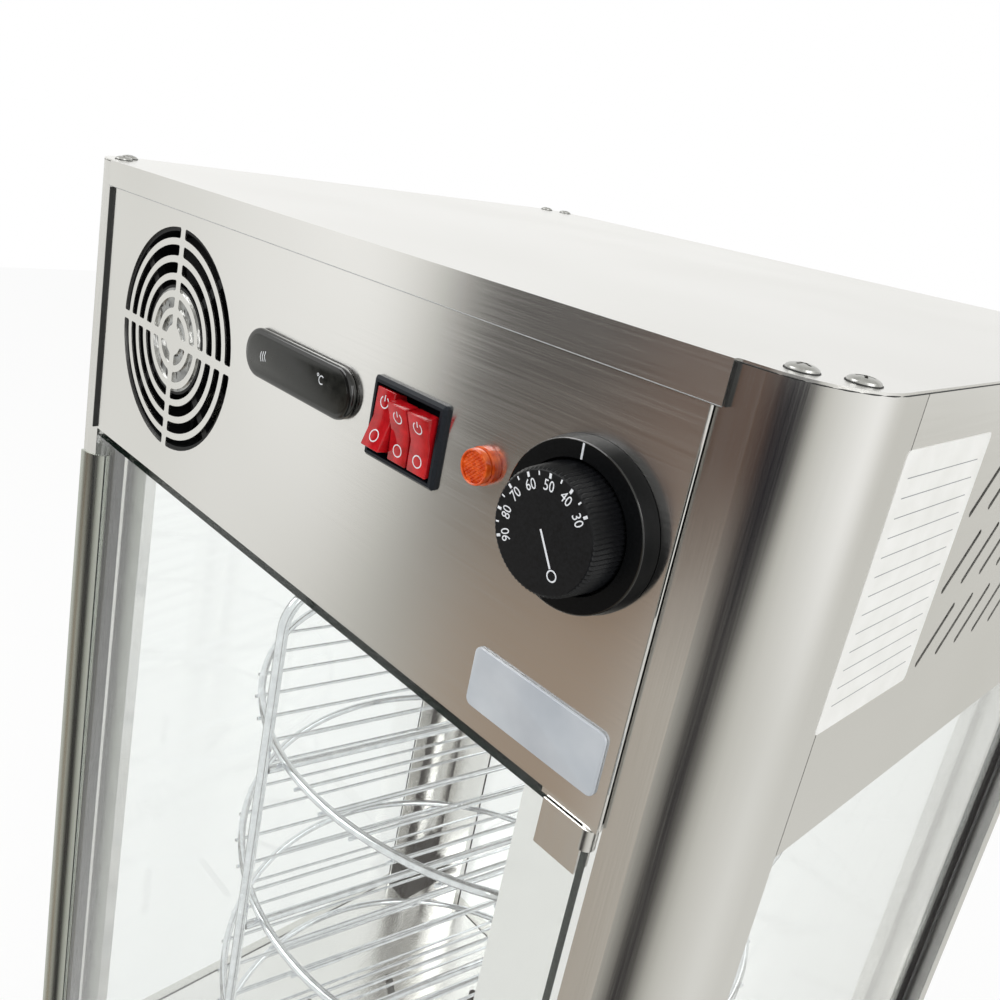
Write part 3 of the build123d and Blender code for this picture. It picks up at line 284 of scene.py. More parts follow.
# %% Small finishes
rubber = new_material("moulded_rubber", "#1A1A1B", 0.78)
pattern(rubber, 1.2, ("#161617", "#222223"), roughness=(0.7, 0.86), bump_mm=0.05)
# Painted shade: a dark grey for thin wires and strips laid into the gaps between sheets and under the screw
# heads, where shade falls. The real joints are open gaps, not sealant.
painted_gap_shade = new_material("painted_gap_shade_dark", "#202121", 0.55)
pattern(painted_gap_shade, 2, ("#1A1B1B", "#282928"), roughness=(0.48, 0.62), bump_mm=0.02)
motor_paint = new_material("satin_motor_paint", "#8A8D90", 0.42, Coat_Weight=0.2)
pattern(motor_paint, 1.5, ("#85888B", "#909396"), bump_mm=0.03)
copper = new_material("drawn_copper_tube", "#C98A66", 0.28, metallic=1.0)
pattern(copper, 6, ("#B87550", "#D69C79"), roughness=(0.2, 0.38))
heater_sheath = new_material("heat_tinted_sheath", "#6E6A66", 0.5, metallic=1.0)
pattern(heater_sheath, 40, ("#5B4B40", "#7C7A77"), roughness=(0.4, 0.6))
ceramic = new_material("glazed_ceramic", "#E9E6DF", 0.2, Coat_Weight=0.6)
pattern(ceramic, 3, ("#E3E0D8", "#EFECE6"), roughness=(0.14, 0.28))

# %% [markdown]
# ## Print, foil and labels
# The figures are white pad print, which has a soft matt surface. The round label on the fan's hub is
# silver foil, which never lies quite flat. The plate at the lower right of the header is bare
# and covered by a clear resin dome, and the sticker on the side is plain coated paper.

# %% Print and label finishes
white_ink = new_material("white_pad_print", "#DDE0E4", 0.5)
pattern(white_ink, 1, ("#D2D5DA", "#E8EAEE"))
grey_ink = new_material("grey_pad_print", "#8E9194", 0.55)
pattern(grey_ink, 1, ("#868A8D", "#979A9D"))
foil = new_material("silver_foil", "#B9BAB9", 0.2, metallic=1.0)
pattern(foil, 7, ("#7F8080", "#C9CAC9"), roughness=(0.12, 0.3), bump_mm=0.9, detail=1.5)
coated_paper = new_material("coated_label_paper", "#F1F1EE", 0.45)
pattern(coated_paper, 12, ("#EDEDEA", "#F5F5F3"), roughness=(0.4, 0.52))
resin_plate = new_material("resin_domed_plate", "#B7BCC3", 0.2, Coat_Weight=1.0, Coat_Roughness=0.03)
pattern(resin_plate, 25, ("#AEB4BC", "#C1C6CC"), roughness=(0.16, 0.26))

# %% [markdown]
# ## Dress the CAD parts
# Each CAD part keeps its shape and gets its finish. In the list, the material comes first, then every
# part that is made of it.

# %% Assign the finishes
FINISHES = (
    (steel_across, "header_front_panel", "header_rear_panel", "base_front_panel", "base_rear_panel"),
    (steel_across, "top_cover", "ceiling_plate", "floor_plate"),
    (steel_deep, "header_side_panels", "base_side_panels"),
    (steel_upright, "front_posts", "rear_posts", "door_stop_left", "door_stop_right", "rear_strips"),
    (steel_upright, "door_clamps", "pivot_brackets"),
    (galvanised, "base_pan", "motor_bracket", "element_supports", "lamp_housing", "bulb_clips"),
    (galvanised, "thermostat_body"),
    (plated, "cover_screws", "thermostat_shaft"),
    (glass_facing_front, "door_glass", "rear_glass"),
    (glass_facing_side, "left_glass", "right_glass"),
    (pressed_glass, "lamp_bulb", "lamp_dome"),
    (rubber, "rubber_feet", "glass_bedding", "door_seal"),
    (anodised, "door_pull"),
    (turned, "drive_hub", "top_spindle"),
    (chrome, "rack_hoop", "rack_tier_1", "rack_tier_2", "rack_tier_3", "rack_tier_4"),
    (fan_plastic, "fan_frame", "fan_rotor"),
    (gloss_plastic, "display_body"),
    (smoked_lens, "display_lens"),
    (switch_plastic, "switch_housing"),
    (red_plastic, "rocker_1", "rocker_2", "rocker_3"),
    (orange_plastic, "pilot_body", "pilot_lens"),
    (dial_plastic, "dial_bezel", "thermostat_knob", "cord_gland"),
    (nylon, "rack_bushes"),
    (motor_paint, "gear_motor"),
    (copper, "sensor_line"),
    (heater_sheath, "heating_element"),
    (ceramic, "terminal_block"),
)
dressed = set()
for material, *part_names in FINISHES:
    dressed.update(part_names)
    for part_name in part_names:
        part = nodes[part_name]
        if part.material_slots:
            part.material_slots[0].material = material
        else:
            part.data.materials.append(material)
print("parts without a finish:", sorted(set(nodes) - dressed))

# %% [markdown]
# ## Making meshes
# Small pieces are drawn flat on the face that they sit on, in millimetres, with x to the right, y up and
# z towards the viewer. A matrix then stands the drawing up at its place. Four ways of making a mesh are
# enough here: turning a profile, pushing an outline through a thickness, running a wire along
# points, and setting type.

# %% Places
FRONT_AXES = Matrix(((1, 0, 0), (0, 0, -1), (0, 1, 0))).to_4x4()
RIGHT_AXES = Matrix(((0, 0, 1), (1, 0, 0), (0, 1, 0))).to_4x4()
TO_METRES = Matrix.Scale(MM, 4)
IN_PLACE = Matrix.Identity(4)


def at(x, y, z=0.0):
    """Place moved along the axes."""
    return Matrix.Translation((x, y, z))


def turned_by(degrees, axis="Z"):
    """Place turned about an axis."""
    return Matrix.Rotation(math.radians(degrees), 4, axis)


def on_front(x, y, z):
    """Place for a drawing in millimetres on a face that looks to the front."""
    return at(x, y, z) @ FRONT_AXES @ TO_METRES


def on_right(x, y, z):
    """Place for a drawing in millimetres on a face that looks to the right."""
    return at(x, y, z) @ RIGHT_AXES @ TO_METRES


def middle(low, high):
    """Middle of a box as seen from the front, as x and z."""
    return (low.x + high.x) / 2, (low.z + high.z) / 2


# %% Turned and pushed meshes
def as_mesh(bm):
    """Mesh with its faces turned outwards, from bmesh data."""
    bmesh.ops.recalc_face_normals(bm, faces=bm.faces)
    mesh = bpy.data.meshes.new("drawing")
    bm.to_mesh(mesh)
    bm.free()
    return mesh


def lathe(rows, steps=64):
    """Turned mesh from rows of radius and height. A third number cuts every other point back."""
    bm = bmesh.new()
    rings = []
    for radius, height, *cut in rows:
        ring = []
        for step in range(steps):
            reach = radius - (cut[0] if cut and step % 2 else 0)
            angle = 2 * math.pi * step / steps
            ring.append(bm.verts.new((reach * math.cos(angle), reach * math.sin(angle), height)))
        rings.append(ring)
    for lower, upper in zip(rings, rings[1:]):
        for step in range(steps):
            after = (step + 1) % steps
            bm.faces.new((lower[step], lower[after], upper[after], upper[step]))
    bm.faces.new(rings[0])
    bm.faces.new(rings[-1])
    return as_mesh(bm)


def prism(outline, depth, edge=0.0, segments=3):
    """Outline pushed through a depth, with its edges rounded by the radius given."""
    bm = bmesh.new()
    face = bm.faces.new([bm.verts.new((x, y, 0)) for x, y in outline])
    top = bmesh.ops.extrude_face_region(bm, geom=[face])["geom"]
    lifted = [item for item in top if isinstance(item, bmesh.types.BMVert)]
    bmesh.ops.translate(bm, verts=lifted, vec=(0, 0, depth))
    bmesh.ops.recalc_face_normals(bm, faces=bm.faces)
    if edge:
        sharp = [e for e in bm.edges if e.calc_face_angle() > math.radians(30)]
        bmesh.ops.bevel(bm, geom=sharp, offset=edge, segments=segments, profile=0.5, affect="EDGES")
    return as_mesh(bm)


# %% Outlines
def arc(radius, start, end, steps, centre=(0, 0)):
    """Points along an arc, with its angles in degrees."""
    angles = [math.radians(start + (end - start) * step / steps) for step in range(steps + 1)]
    return [(centre[0] + radius * math.cos(a), centre[1] + radius * math.sin(a)) for a in angles]


def circle(radius, steps, centre=(0, 0)):
    """Points round a circle, with the first not repeated."""
    return arc(radius, 0, 360, steps, centre)[:-1]


def oblong(width, height, radius, steps=6):
    """Outline of an oblong about the origin, with round corners."""
    points = []
    for turn, (sx, sy) in enumerate(((1, 1), (-1, 1), (-1, -1), (1, -1))):
        centre = (sx * (width / 2 - radius), sy * (height / 2 - radius))
        points += arc(radius, 90 * turn, 90 * turn + 90, steps, centre)
    return points


# %% Wires, print and type
INK_HEIGHT = 0.12
TYPE_BODY = 0.04
TYPE_SIZE = 1.37


def evaluated(data):
    """Mesh of a curve or a text, as Blender draws it."""
    holder = bpy.data.objects.new("drawing", data)
    mesh = bpy.data.meshes.new_from_object(holder)
    bpy.data.objects.remove(holder)
    return mesh


def wires(runs, sides=3):
    """Round wires. A run is its points, its radius and whether it closes on itself."""
    curve = bpy.data.curves.new("wires", "CURVE")
    curve.dimensions = "3D"
    curve.bevel_depth = 1.0
    curve.bevel_resolution = sides
    curve.use_fill_caps = True
    for points, radius, closed in runs:
        spline = curve.splines.new("POLY")
        spline.points.add(len(points) - 1)
        for knot, point in zip(spline.points, points):
            knot.co = (*point, 1)
            knot.radius = radius
        spline.use_cyclic_u = closed
    return evaluated(curve)


def ink(runs, width):
    """Printed lines of one width along flat points, only just proud of the face."""
    flat = [([(x, y, 0) for x, y in points], width / 2, closed) for points, closed in runs]
    mesh = wires(flat, 2)
    mesh.transform(Matrix.Diagonal((1, 1, INK_HEIGHT / width, 1)))
    return mesh


def type_mesh(figures, height):
    """Figures of a given height in Blender's own face, centred on the origin, with a thin body."""
    text = bpy.data.curves.new("type", "FONT")
    text.body = figures
    text.size = height * TYPE_SIZE
    text.align_x = text.align_y = "CENTER"
    text.extrude = TYPE_BODY
    text.resolution_u = 3
    return evaluated(text)


# %% Joining meshes and putting them in the scene
def joined(parts):
    """One mesh from several, each with its own place."""
    bm = bmesh.new()
    for mesh, place in parts:
        copy = mesh.copy()
        copy.transform(place)
        bm.from_mesh(copy)
        bpy.data.meshes.remove(copy)
    mesh = bpy.data.meshes.new("joined")
    bm.to_mesh(mesh)
    bm.free()
    return mesh


def put(name, data):
    """New object in the scene."""
    made = bpy.data.objects.new(name, data)
    bpy.context.scene.collection.objects.link(made)
    return made


def piece(name, mesh, place, material, body="cabinet", smooth_angle=35):
    """Put a mesh in the scene at its place, shaded smooth between its sharp edges, on its body."""
    mesh.transform(place)
    mesh.polygons.foreach_set("use_smooth", [True] * len(mesh.polygons))
    mesh.set_sharp_from_angle(angle=math.radians(smooth_angle))
    mesh.materials.append(material)
    made = put(name, mesh)
    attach(made, body)
    print(name, len(mesh.polygons), "faces")
    return made


# %% [markdown]
# ## The rack
# A hoop of thick rod carries four round tiers. Each tier is a ring with a bar across its middle and thin
# wires under it, all spot welded. The CAD model's rods have a few flat sides, so they are drawn again as
# round wire, through the same places, with a small bead at each weld.

# %% Rack sizes
RACK_TURN = -10.0
HOOP_ROD = 3.25 * MM
HOOP_BEND = 25 * MM
RING_ROD = 2.5 * MM
GRID_WIRE = 1.1 * MM
GRID_PITCH = 22 * MM
GRID_OVERHANG = 1 * MM
WELD_BEAD = 1.7 * MM
rack_centre = Vector(joints["rack_turn"]["pos_m"])
hoop_low, hoop_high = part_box("rack_hoop")
hoop_half = (hoop_high.x - hoop_low.x - 2 * HOOP_ROD) / 2
rack_frame = at(rack_centre.x, rack_centre.y) @ turned_by(RACK_TURN)
hoop_reach = hoop_half / abs(math.sin(math.radians(RACK_TURN)))

# %% Hoop
low = hoop_low.z + HOOP_ROD
high = hoop_high.z - HOOP_ROD
straight = hoop_reach - HOOP_BEND
corners = (
    (straight, low + HOOP_BEND, -90),
    (straight, high - HOOP_BEND, 0),
    (-straight, high - HOOP_BEND, 90),
    (-straight, low + HOOP_BEND, 180),
)
hoop_route = []
for y, z, first_angle in corners:
    hoop_route += [(0, b, c) for b, c in arc(HOOP_BEND, first_angle, first_angle + 90, 10, (y, z))]
hoop_rod = wires([(hoop_route, HOOP_ROD, True)], 5)
hoop = piece("rack_hoop_rod", hoop_rod, rack_frame, chrome, "rack")
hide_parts("rack_hoop")

# %% Tiers
ball = bmesh.new()
bmesh.ops.create_icosphere(ball, subdivisions=1, radius=WELD_BEAD)
bead = as_mesh(ball)
tier_low, tier_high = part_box("rack_tier_1")
ring_radius = (tier_high.x - tier_low.x) / 2 - RING_ROD
per_side = int(ring_radius // GRID_PITCH)
for number in range(1, 5):
    node = f"rack_tier_{number}"
    ring_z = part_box(node)[1].z - RING_ROD
    bar_z = ring_z - 2 * RING_ROD
    wire_z = ring_z - RING_ROD - GRID_WIRE
    ring = [(x, y, ring_z) for x, y in circle(ring_radius, 96)]
    reach = hoop_reach - HOOP_ROD
    runs = [(ring, RING_ROD, True), ([(0, -reach, bar_z), (0, reach, bar_z)], RING_ROD, False)]
    welds = [(bead, at(0, side * ring_radius, ring_z - RING_ROD)) for side in (-1, 1)]
    for wire in range(1, per_side + 1):
        for x in (-wire * GRID_PITCH, wire * GRID_PITCH):
            end = math.sqrt((ring_radius + RING_ROD) ** 2 - x**2) + GRID_OVERHANG
            runs.append(([(x, -end, wire_z), (x, end, wire_z)], GRID_WIRE, False))
            crossing = math.sqrt(ring_radius**2 - x**2)
            welds += [(bead, at(x, side * crossing, ring_z - RING_ROD)) for side in (-1, 1)]
    tier_mesh = joined([(wires(runs, 4), IN_PLACE)] + welds)
    tier = piece(f"tier_{number}_wires", tier_mesh, rack_frame, chrome, "rack", 50)
    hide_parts(node)

# %% [markdown]
# ## Cover screws
# Four pairs of pan-head screws hold the cover down into the posts. The head is a shallow dome with a
# cross recess. The dome is turned, and the recess is cut with a Boolean, which suits a single clean cut.
# Each screw stopped at its own angle, and a thin dark ring round each head is painted shadow, the shade in
# the gap under the head.

# %% Screws
HEAD_RADIUS = 4.75
HEAD_HEIGHT = 2.1
HEAD_RIM = 0.5
SHANK = 2.4
SHANK_LENGTH = 10.0
RECESS_CROSS = (5.4, 1.0)
RECESS_DEPTH = 1.2
SCREW_PLACES = ((216, -202.5), (229.2, -193))
SEAM_WIRE = 0.22


def cut_away(mesh, tool):
    """The first mesh less the second."""
    body = put("body", mesh)
    cutter = put("cutter", tool)
    boolean = body.modifiers.new("recess", "BOOLEAN")
    boolean.object = cutter
    boolean.operation = "DIFFERENCE"
    graph = bpy.context.evaluated_depsgraph_get()
    result = bpy.data.meshes.new_from_object(body.evaluated_get(graph))
    bpy.data.objects.remove(body)
    bpy.data.objects.remove(cutter)
    return result


def pan_head():
    """One screw on the origin, with the underside of its head at height 0."""
    rise = HEAD_HEIGHT - HEAD_RIM
    rows = [(SHANK, -SHANK_LENGTH), (SHANK, 0), (HEAD_RADIUS, 0)]
    for degrees in (0, 17, 34, 51, 68, 84):
        angle = math.radians(degrees)
        rows.append((HEAD_RADIUS * math.cos(angle), HEAD_RIM + rise * math.sin(angle)))
    blank = lathe(rows, 40)
    for size in (RECESS_CROSS, RECESS_CROSS[::-1]):
        tool = prism(oblong(*size, 0.3), 4)
        tool.transform(at(0, 0, HEAD_HEIGHT - RECESS_DEPTH))
        blank = cut_away(blank, tool)
    return blank


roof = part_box("top_cover")[1].z
screws = []
head_shadow_rings = []
head_shadow_circle = [(x, y, 0.1) for x, y in circle(HEAD_RADIUS + 0.15, 32)]
for number, spot in enumerate(SCREW_PLACES):
    x, y = Vector(spot) * MM
    for side in (-1, 1):
        for end in (-1, 1):
            seat = at(side * x, end * y, roof) @ TO_METRES
            turn = turned_by(20 + 47 * (number + side + 2 * end))
            screws.append((pan_head(), seat @ turn))
            head_shadow_rings.append((wires([(head_shadow_circle, SEAM_WIRE, True)]), seat))
screw_set = piece("pan_head_screws", joined(screws), IN_PLACE, plated, smooth_angle=28)
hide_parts("cover_screws")
# Painted shadow: dark rings round the screw heads, where each head shades the cover.
piece("screw_head_painted_shadows", joined(head_shadow_rings), IN_PLACE, painted_gap_shade)

# %% [markdown]
# ## Rubber feet
# A foot has a wide pad and a waist. It is a turned shape, so a lathe gives it at once, with the small
# roundings that catch the light.

# %% Feet
foot_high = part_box("rubber_feet")[1]
FOOT_RADIUS = 18.5
FOOT_ROWS = (
    (17.2, 0), (18.2, 0.5), (18.5, 1.4), (18.5, 5.0), (17.9, 6.4), (16.5, 8.6), (16.0, 10.2),
    (16.0, 21.4), (15.6, 22), (4, 22), (4, 32),
)
foot_x = foot_high.x - FOOT_RADIUS * MM
foot_y = foot_high.y - FOOT_RADIUS * MM
feet = [(lathe(FOOT_ROWS), at(sx * foot_x, sy * foot_y) @ TO_METRES) for sx in (-1, 1) for sy in (-1, 1)]
foot_set = piece("moulded_feet", joined(feet), IN_PLACE, rubber)
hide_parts("rubber_feet")

# %% [markdown]
# ## The door pull
# The pull is an aluminium extrusion with a half-round face and an open back, clipped over the free
# edge of the glass. Its section is drawn once as a thin curved band and pushed through the length.

# %% Door pull
PULL_REACH = 16.0
PULL_WALL = 1.6
PULL_STEPS = 28
pull_low, pull_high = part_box("door_pull")
pull_half = (pull_high.y - pull_low.y) / 2 / MM
inner_reach = PULL_REACH - PULL_WALL
inner_half = pull_half - PULL_WALL
outer_curve = [(PULL_REACH * x, pull_half * y) for x, y in arc(1, -90, 90, PULL_STEPS)]
inner_curve = [(inner_reach * x, inner_half * y) for x, y in arc(1, 90, -90, PULL_STEPS)]
pull_length = (pull_high.z - pull_low.z) / MM
pull_place = at(pull_low.x, (pull_low.y + pull_high.y) / 2, pull_low.z) @ TO_METRES
profile = prism(outer_curve + inner_curve, pull_length)
pull = piece("door_pull_profile", profile, pull_place, anodised, "door", 30)
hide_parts("door_pull")

# %% [markdown]
# ## The thermostat knob
# The knob is a tapered moulding with fine milled teeth round its grip and a smooth face. The scale is
# printed on the face, so it turns with the knob, and it runs anticlockwise from 30 to 90 degrees. It sits
# in a turned recess of a deep bezel, whose rim catches a line of light and carries one fixed mark.

# %% Knob
knob_low, knob_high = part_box("thermostat_knob")
dial_x, dial_z = middle(knob_low, knob_high)
KNOB_FACE = 20.6
KNOB_FOOT = (knob_high.x - knob_low.x) / 2 / MM
KNOB_HEIGHT = (knob_high.y - knob_low.y) / MM
KNOB_TEETH = 76
TOOTH_DEPTH = 0.6
knob_rows = (
    (KNOB_FOOT - 0.8, 0),
    (KNOB_FOOT, 0.1, TOOTH_DEPTH),
    (KNOB_FACE, KNOB_HEIGHT - 1.6, TOOTH_DEPTH),
    (KNOB_FACE - 0.3, KNOB_HEIGHT - 0.8, TOOTH_DEPTH),
    (KNOB_FACE - 0.75, KNOB_HEIGHT - 0.2, TOOTH_DEPTH / 2),
    (KNOB_FACE - 1.3, KNOB_HEIGHT),
)
knob_face = on_front(dial_x, knob_low.y, dial_z)
knob_place = on_front(dial_x, knob_high.y, dial_z)
knob_grip = lathe(knob_rows, 2 * KNOB_TEETH)
knob = piece("milled_knob", knob_grip, knob_place, dial_plastic, "knob", 25)
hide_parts("thermostat_knob")

# %% Scale printed on the knob
SCALE_START = 38.0
SCALE_STEP = 28.0
OFF_ANGLE = -57.5
FIGURE_HEIGHT = 3.7
FIGURE_RADIUS = 15.0
FIGURE_SQUEEZE = 0.86
TICK_END = 19.1
MAJOR_TICK = 17.5
MINOR_TICK = 17.8
OFF_LINE = (-1.2, 11.2)
OFF_RING_RADIUS = 1.75
OFF_RING_PLACE = 13.4
FIGURES = range(30, 100, 10)
prints = []
for count, number in enumerate(FIGURES):
    angle = SCALE_START + SCALE_STEP * count
    figure = type_mesh(str(number), FIGURE_HEIGHT)
    figure_place = turned_by(angle - 90) @ at(0, FIGURE_RADIUS) @ Matrix.Diagonal((FIGURE_SQUEEZE, 1, 1, 1))
    prints.append((figure, figure_place))


def ray(angle, start, end):
    """Two points on a line out from the centre."""
    direction = (math.cos(math.radians(angle)), math.sin(math.radians(angle)))
    return [(radius * direction[0], radius * direction[1]) for radius in (start, end)]


steps = range(len(FIGURES))
major = [(ray(SCALE_START + SCALE_STEP * n, MAJOR_TICK, TICK_END), False) for n in steps]
minor = [(ray(SCALE_START + SCALE_STEP * (n + 0.5), MINOR_TICK, TICK_END), False) for n in steps[:-1]]
off_ring = circle(OFF_RING_RADIUS, 24, ray(OFF_ANGLE, 0, OFF_RING_PLACE)[1])
off_line = [(ray(OFF_ANGLE, *OFF_LINE), False)]
for runs, width in ((major, 0.95), (minor, 0.55), (off_line, 0.75), ([(off_ring, True)], 0.5)):
    prints.append((ink(runs, width), IN_PLACE))
piece("knob_scale_print", joined(prints), knob_face, white_ink, "knob")

# %% Bezel and its mark
MARK_ANGLE = 92.5
BEZEL_HEIGHT = 7.4
BEZEL_TOP = 27.6
BEZEL_EDGE = 0.45
bezel_low, bezel_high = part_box("dial_bezel")
BEZEL_FOOT = (bezel_high.x - bezel_low.x) / 2 / MM - 0.6
RECESS = KNOB_FOOT + 0.5
bezel_rows = (
    (BEZEL_FOOT - 1.0, 0),
    (BEZEL_FOOT, 0.3),
    (BEZEL_FOOT, 1.8),
    (BEZEL_TOP + 0.6, BEZEL_HEIGHT - 0.5),
    (BEZEL_TOP + 0.1, BEZEL_HEIGHT),
    (RECESS + 0.3, BEZEL_HEIGHT),
    (RECESS, BEZEL_HEIGHT - 0.3),
    (RECESS, (bezel_high.y - bezel_low.y) / MM),
)
bezel_place = on_front(dial_x, bezel_high.y, dial_z)
bezel_mesh = lathe(bezel_rows, 96)
bezel = piece("turned_bezel", bezel_mesh, bezel_place, bezel_plastic, smooth_angle=25)
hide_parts("dial_bezel")
edge_ring = [(x, y, BEZEL_HEIGHT - 0.4) for x, y in circle(BEZEL_TOP + 0.2, 96)]
edge_mesh = wires([(edge_ring, BEZEL_EDGE, True)])
piece("bezel_edge", edge_mesh, bezel_place, gloss_plastic)
mark = ink([(ray(MARK_ANGLE, RECESS + 0.4, BEZEL_TOP + 0.1), False)], 0.8)
mark_place = on_front(dial_x, bezel_high.y - BEZEL_HEIGHT * MM, dial_z)
piece("bezel_mark", mark, mark_place, white_ink)

# %% [markdown]
# ## The temperature display
# The display is a long oval housing from a polished tool, with well rounded edges that draw a bright line,
# and a smoked window let into its face. It is off. Two printed signs show faintly: three slanted lines for
# rising heat at the left, and the unit of degrees Celsius at the right.

# %% Display housing
lens_low, lens_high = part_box("display_lens")
shell_low, shell_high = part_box("display_body")
display_x, display_z = middle(lens_low, lens_high)
panel_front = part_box("header_front_panel")[0].y
DISPLAY_SIZE = ((shell_high.x - shell_low.x) / MM - 1.4, (shell_high.z - shell_low.z) / MM)
DISPLAY_PROUD = 3.6
DISPLAY_BODY = (70, 18)
WINDOW_MARGIN = 2.6
WINDOW_THICKNESS = 0.35


def oval(size):
    """Outline with full half circles at its ends, less a hair that keeps its corners apart."""
    return oblong(*size, size[1] / 2 - 0.01, 16)


face_mesh = prism(oval(DISPLAY_SIZE), DISPLAY_PROUD, 1.5, 4)
back_depth = (shell_high.y - panel_front) / MM
back_mesh = prism(oblong(*DISPLAY_BODY, 3), back_depth + 1, 0.5)
shell_mesh = joined([(face_mesh, IN_PLACE), (back_mesh, at(0, 0, -back_depth))])
shell_place = on_front(display_x, panel_front, display_z)
shell = piece("display_shell", shell_mesh, shell_place, gloss_plastic)
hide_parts("display_body")
window_mesh = prism(oval([side - 2 * WINDOW_MARGIN for side in DISPLAY_SIZE]), WINDOW_THICKNESS, 0.15, 2)
window_y = panel_front - DISPLAY_PROUD * MM
window_place = on_front(display_x, window_y + 0.2 * MM, display_z)
window = piece("display_window", window_mesh, window_place, smoked_lens)
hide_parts("display_lens")

# %% Display signs
HEAT_START = (-27.6, -3.0)
HEAT_STEP = (1.7, 0.45)
HEAT_LINE = ((1.2, 0), (0, 2.2), (0.7, 4.6))
DEGREE_PLACE = (17.4, 4.1)
CELSIUS_PLACE = (20.2, 2.4)
heat_lines = []
for count in range(3):
    x = HEAT_START[0] + HEAT_STEP[0] * count
    y = HEAT_START[1] + HEAT_STEP[1] * count
    heat_lines.append(([(x + right, y + up) for right, up in HEAT_LINE], False))
signs = [
    (ink(heat_lines, 0.5), IN_PLACE),
    (ink([(circle(0.55, 16, DEGREE_PLACE), True)], 0.35), IN_PLACE),
    (ink([(arc(1.75, 50, 310, 20, CELSIUS_PLACE), False)], 0.5), IN_PLACE),
]
signs_place = on_front(display_x, window_y - 0.15 * MM, display_z)
piece("display_signs", joined(signs), signs_place, white_ink)

# %% [markdown]
# ## The triple rocker switch
# Each rocker is a boat-shaped moulding in clear red plastic, which tips about a pin. The marks are a
# power sign above and a circle below, pad printed on the two sloping faces. A rocker and its marks
# are drawn level and then tipped together by the angle that it rests at.

# %% Rockers
ROCKER_WIDTH = 10.9
ROCKER_PITCH = 11.8
ROCKER_HALF = 12.2
ROCKER_TIP = 5.6
ROCKER_DIP = 3.6
ROCKER_RESTS = (("rocker_left", -11.0), ("rocker_middle", 11.0), ("rocker_right", 11.0))
PIVOT_DEPTH = 1.5
MARK_RADIUS = 2.35
MARK_LINE = 0.5
POWER_GAP = 35
MARK_REACH = 6.9
switch_low, switch_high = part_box("switch_housing")
switch_x, switch_z = middle(switch_low, switch_high)
rocker_outline = (
    (-ROCKER_HALF, ROCKER_TIP),
    (0, ROCKER_DIP),
    (ROCKER_HALF, ROCKER_TIP),
    (ROCKER_HALF - 0.4, -1.0),
    (5, -4.5),
    (-5, -4.5),
    (0.4 - ROCKER_HALF, -1.0),
)
slope = math.degrees(math.atan2(ROCKER_TIP - ROCKER_DIP, ROCKER_HALF))


def rocker_marks():
    """Power sign on the upper slope and circle on the lower one."""
    broken_ring = arc(MARK_RADIUS, 90 + POWER_GAP, 450 - POWER_GAP, 26)
    power = [(broken_ring, False), ([(0, 0.4), (0, MARK_RADIUS + 0.5)], False)]
    off = [(circle(MARK_RADIUS, 30), True)]
    height = ROCKER_DIP + (ROCKER_TIP - ROCKER_DIP) * MARK_REACH / ROCKER_HALF
    marks = []
    for runs, side in ((power, 1), (off, -1)):
        on_slope = at(0, side * MARK_REACH, height) @ turned_by(side * slope, "X")
        marks.append((ink(runs, MARK_LINE), on_slope))
    return joined(marks)


for number, (carrier, rest) in enumerate(ROCKER_RESTS):
    shift = (number - 1) * ROCKER_PITCH
    tip = at(shift, 0, -PIVOT_DEPTH) @ turned_by(rest, "X") @ at(0, 0, PIVOT_DEPTH)
    tipped = on_front(switch_x, panel_front, switch_z) @ tip
    moulding = prism(rocker_outline, ROCKER_WIDTH, 0.55)
    moulding.transform(at(-ROCKER_WIDTH / 2, 0) @ RIGHT_AXES)
    rocker = piece(f"{carrier}_moulding", moulding, tipped, red_plastic, carrier, 40)
    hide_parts(f"rocker_{number + 1}")
    piece(f"{carrier}_marks", rocker_marks(), tipped, white_ink, carrier)

# %% [markdown]
# ## The pilot lamp
# The lamp is a squat orange cap on a collar of nearly the same width. Its face is moulded as a net of
# small pyramids, which are real geometry, because at this size they break up the face.

# %% Pilot cap and collar
lamp_low, lamp_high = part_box("pilot_body")
lamp_x, lamp_z = middle(lamp_low, lamp_high)
COLLAR_RADIUS = 7.1
COLLAR_HEIGHT = 2.2
CAP_RADIUS = 6.7
CAP_HEIGHT = 5.2
CAP_DISH = CAP_RADIUS - 0.9
FACET_PITCH = 1.7
FACET_HEIGHT = 0.7
BARREL_RADIUS = 5.0
TAG_LENGTH = 7.0
TAG_SECTION = (0.8, 4.8)
TAG_SPREAD = 2.5
barrel_depth = (lamp_high.y - panel_front) / MM - TAG_LENGTH
collar_rows = (
    (BARREL_RADIUS, -barrel_depth),
    (BARREL_RADIUS, 0),
    (COLLAR_RADIUS, 0),
    (COLLAR_RADIUS, COLLAR_HEIGHT - 0.6),
    (COLLAR_RADIUS - 0.5, COLLAR_HEIGHT),
)
tag = prism(oblong(*TAG_SECTION, 0.2), TAG_LENGTH + 0.5)
tags = [(tag, at(side, 0, -barrel_depth - TAG_LENGTH)) for side in (-TAG_SPREAD, TAG_SPREAD)]
collar_mesh = joined([(lathe(collar_rows, 48), IN_PLACE)] + tags)
lamp_place = on_front(lamp_x, panel_front, lamp_z)
collar = piece("pilot_collar", collar_mesh, lamp_place, orange_plastic)
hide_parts("pilot_body")
cap_rows = (
    (CAP_DISH, COLLAR_HEIGHT - 0.3),
    (CAP_DISH, COLLAR_HEIGHT + 0.5),
    (CAP_RADIUS, COLLAR_HEIGHT + 0.7),
    (CAP_RADIUS, CAP_HEIGHT - 0.6),
    (CAP_RADIUS - 0.2, CAP_HEIGHT - 0.15),
    (CAP_RADIUS - 0.5, CAP_HEIGHT),
    (CAP_DISH, CAP_HEIGHT - 0.2),
    (CAP_DISH, CAP_HEIGHT - 0.8),
)


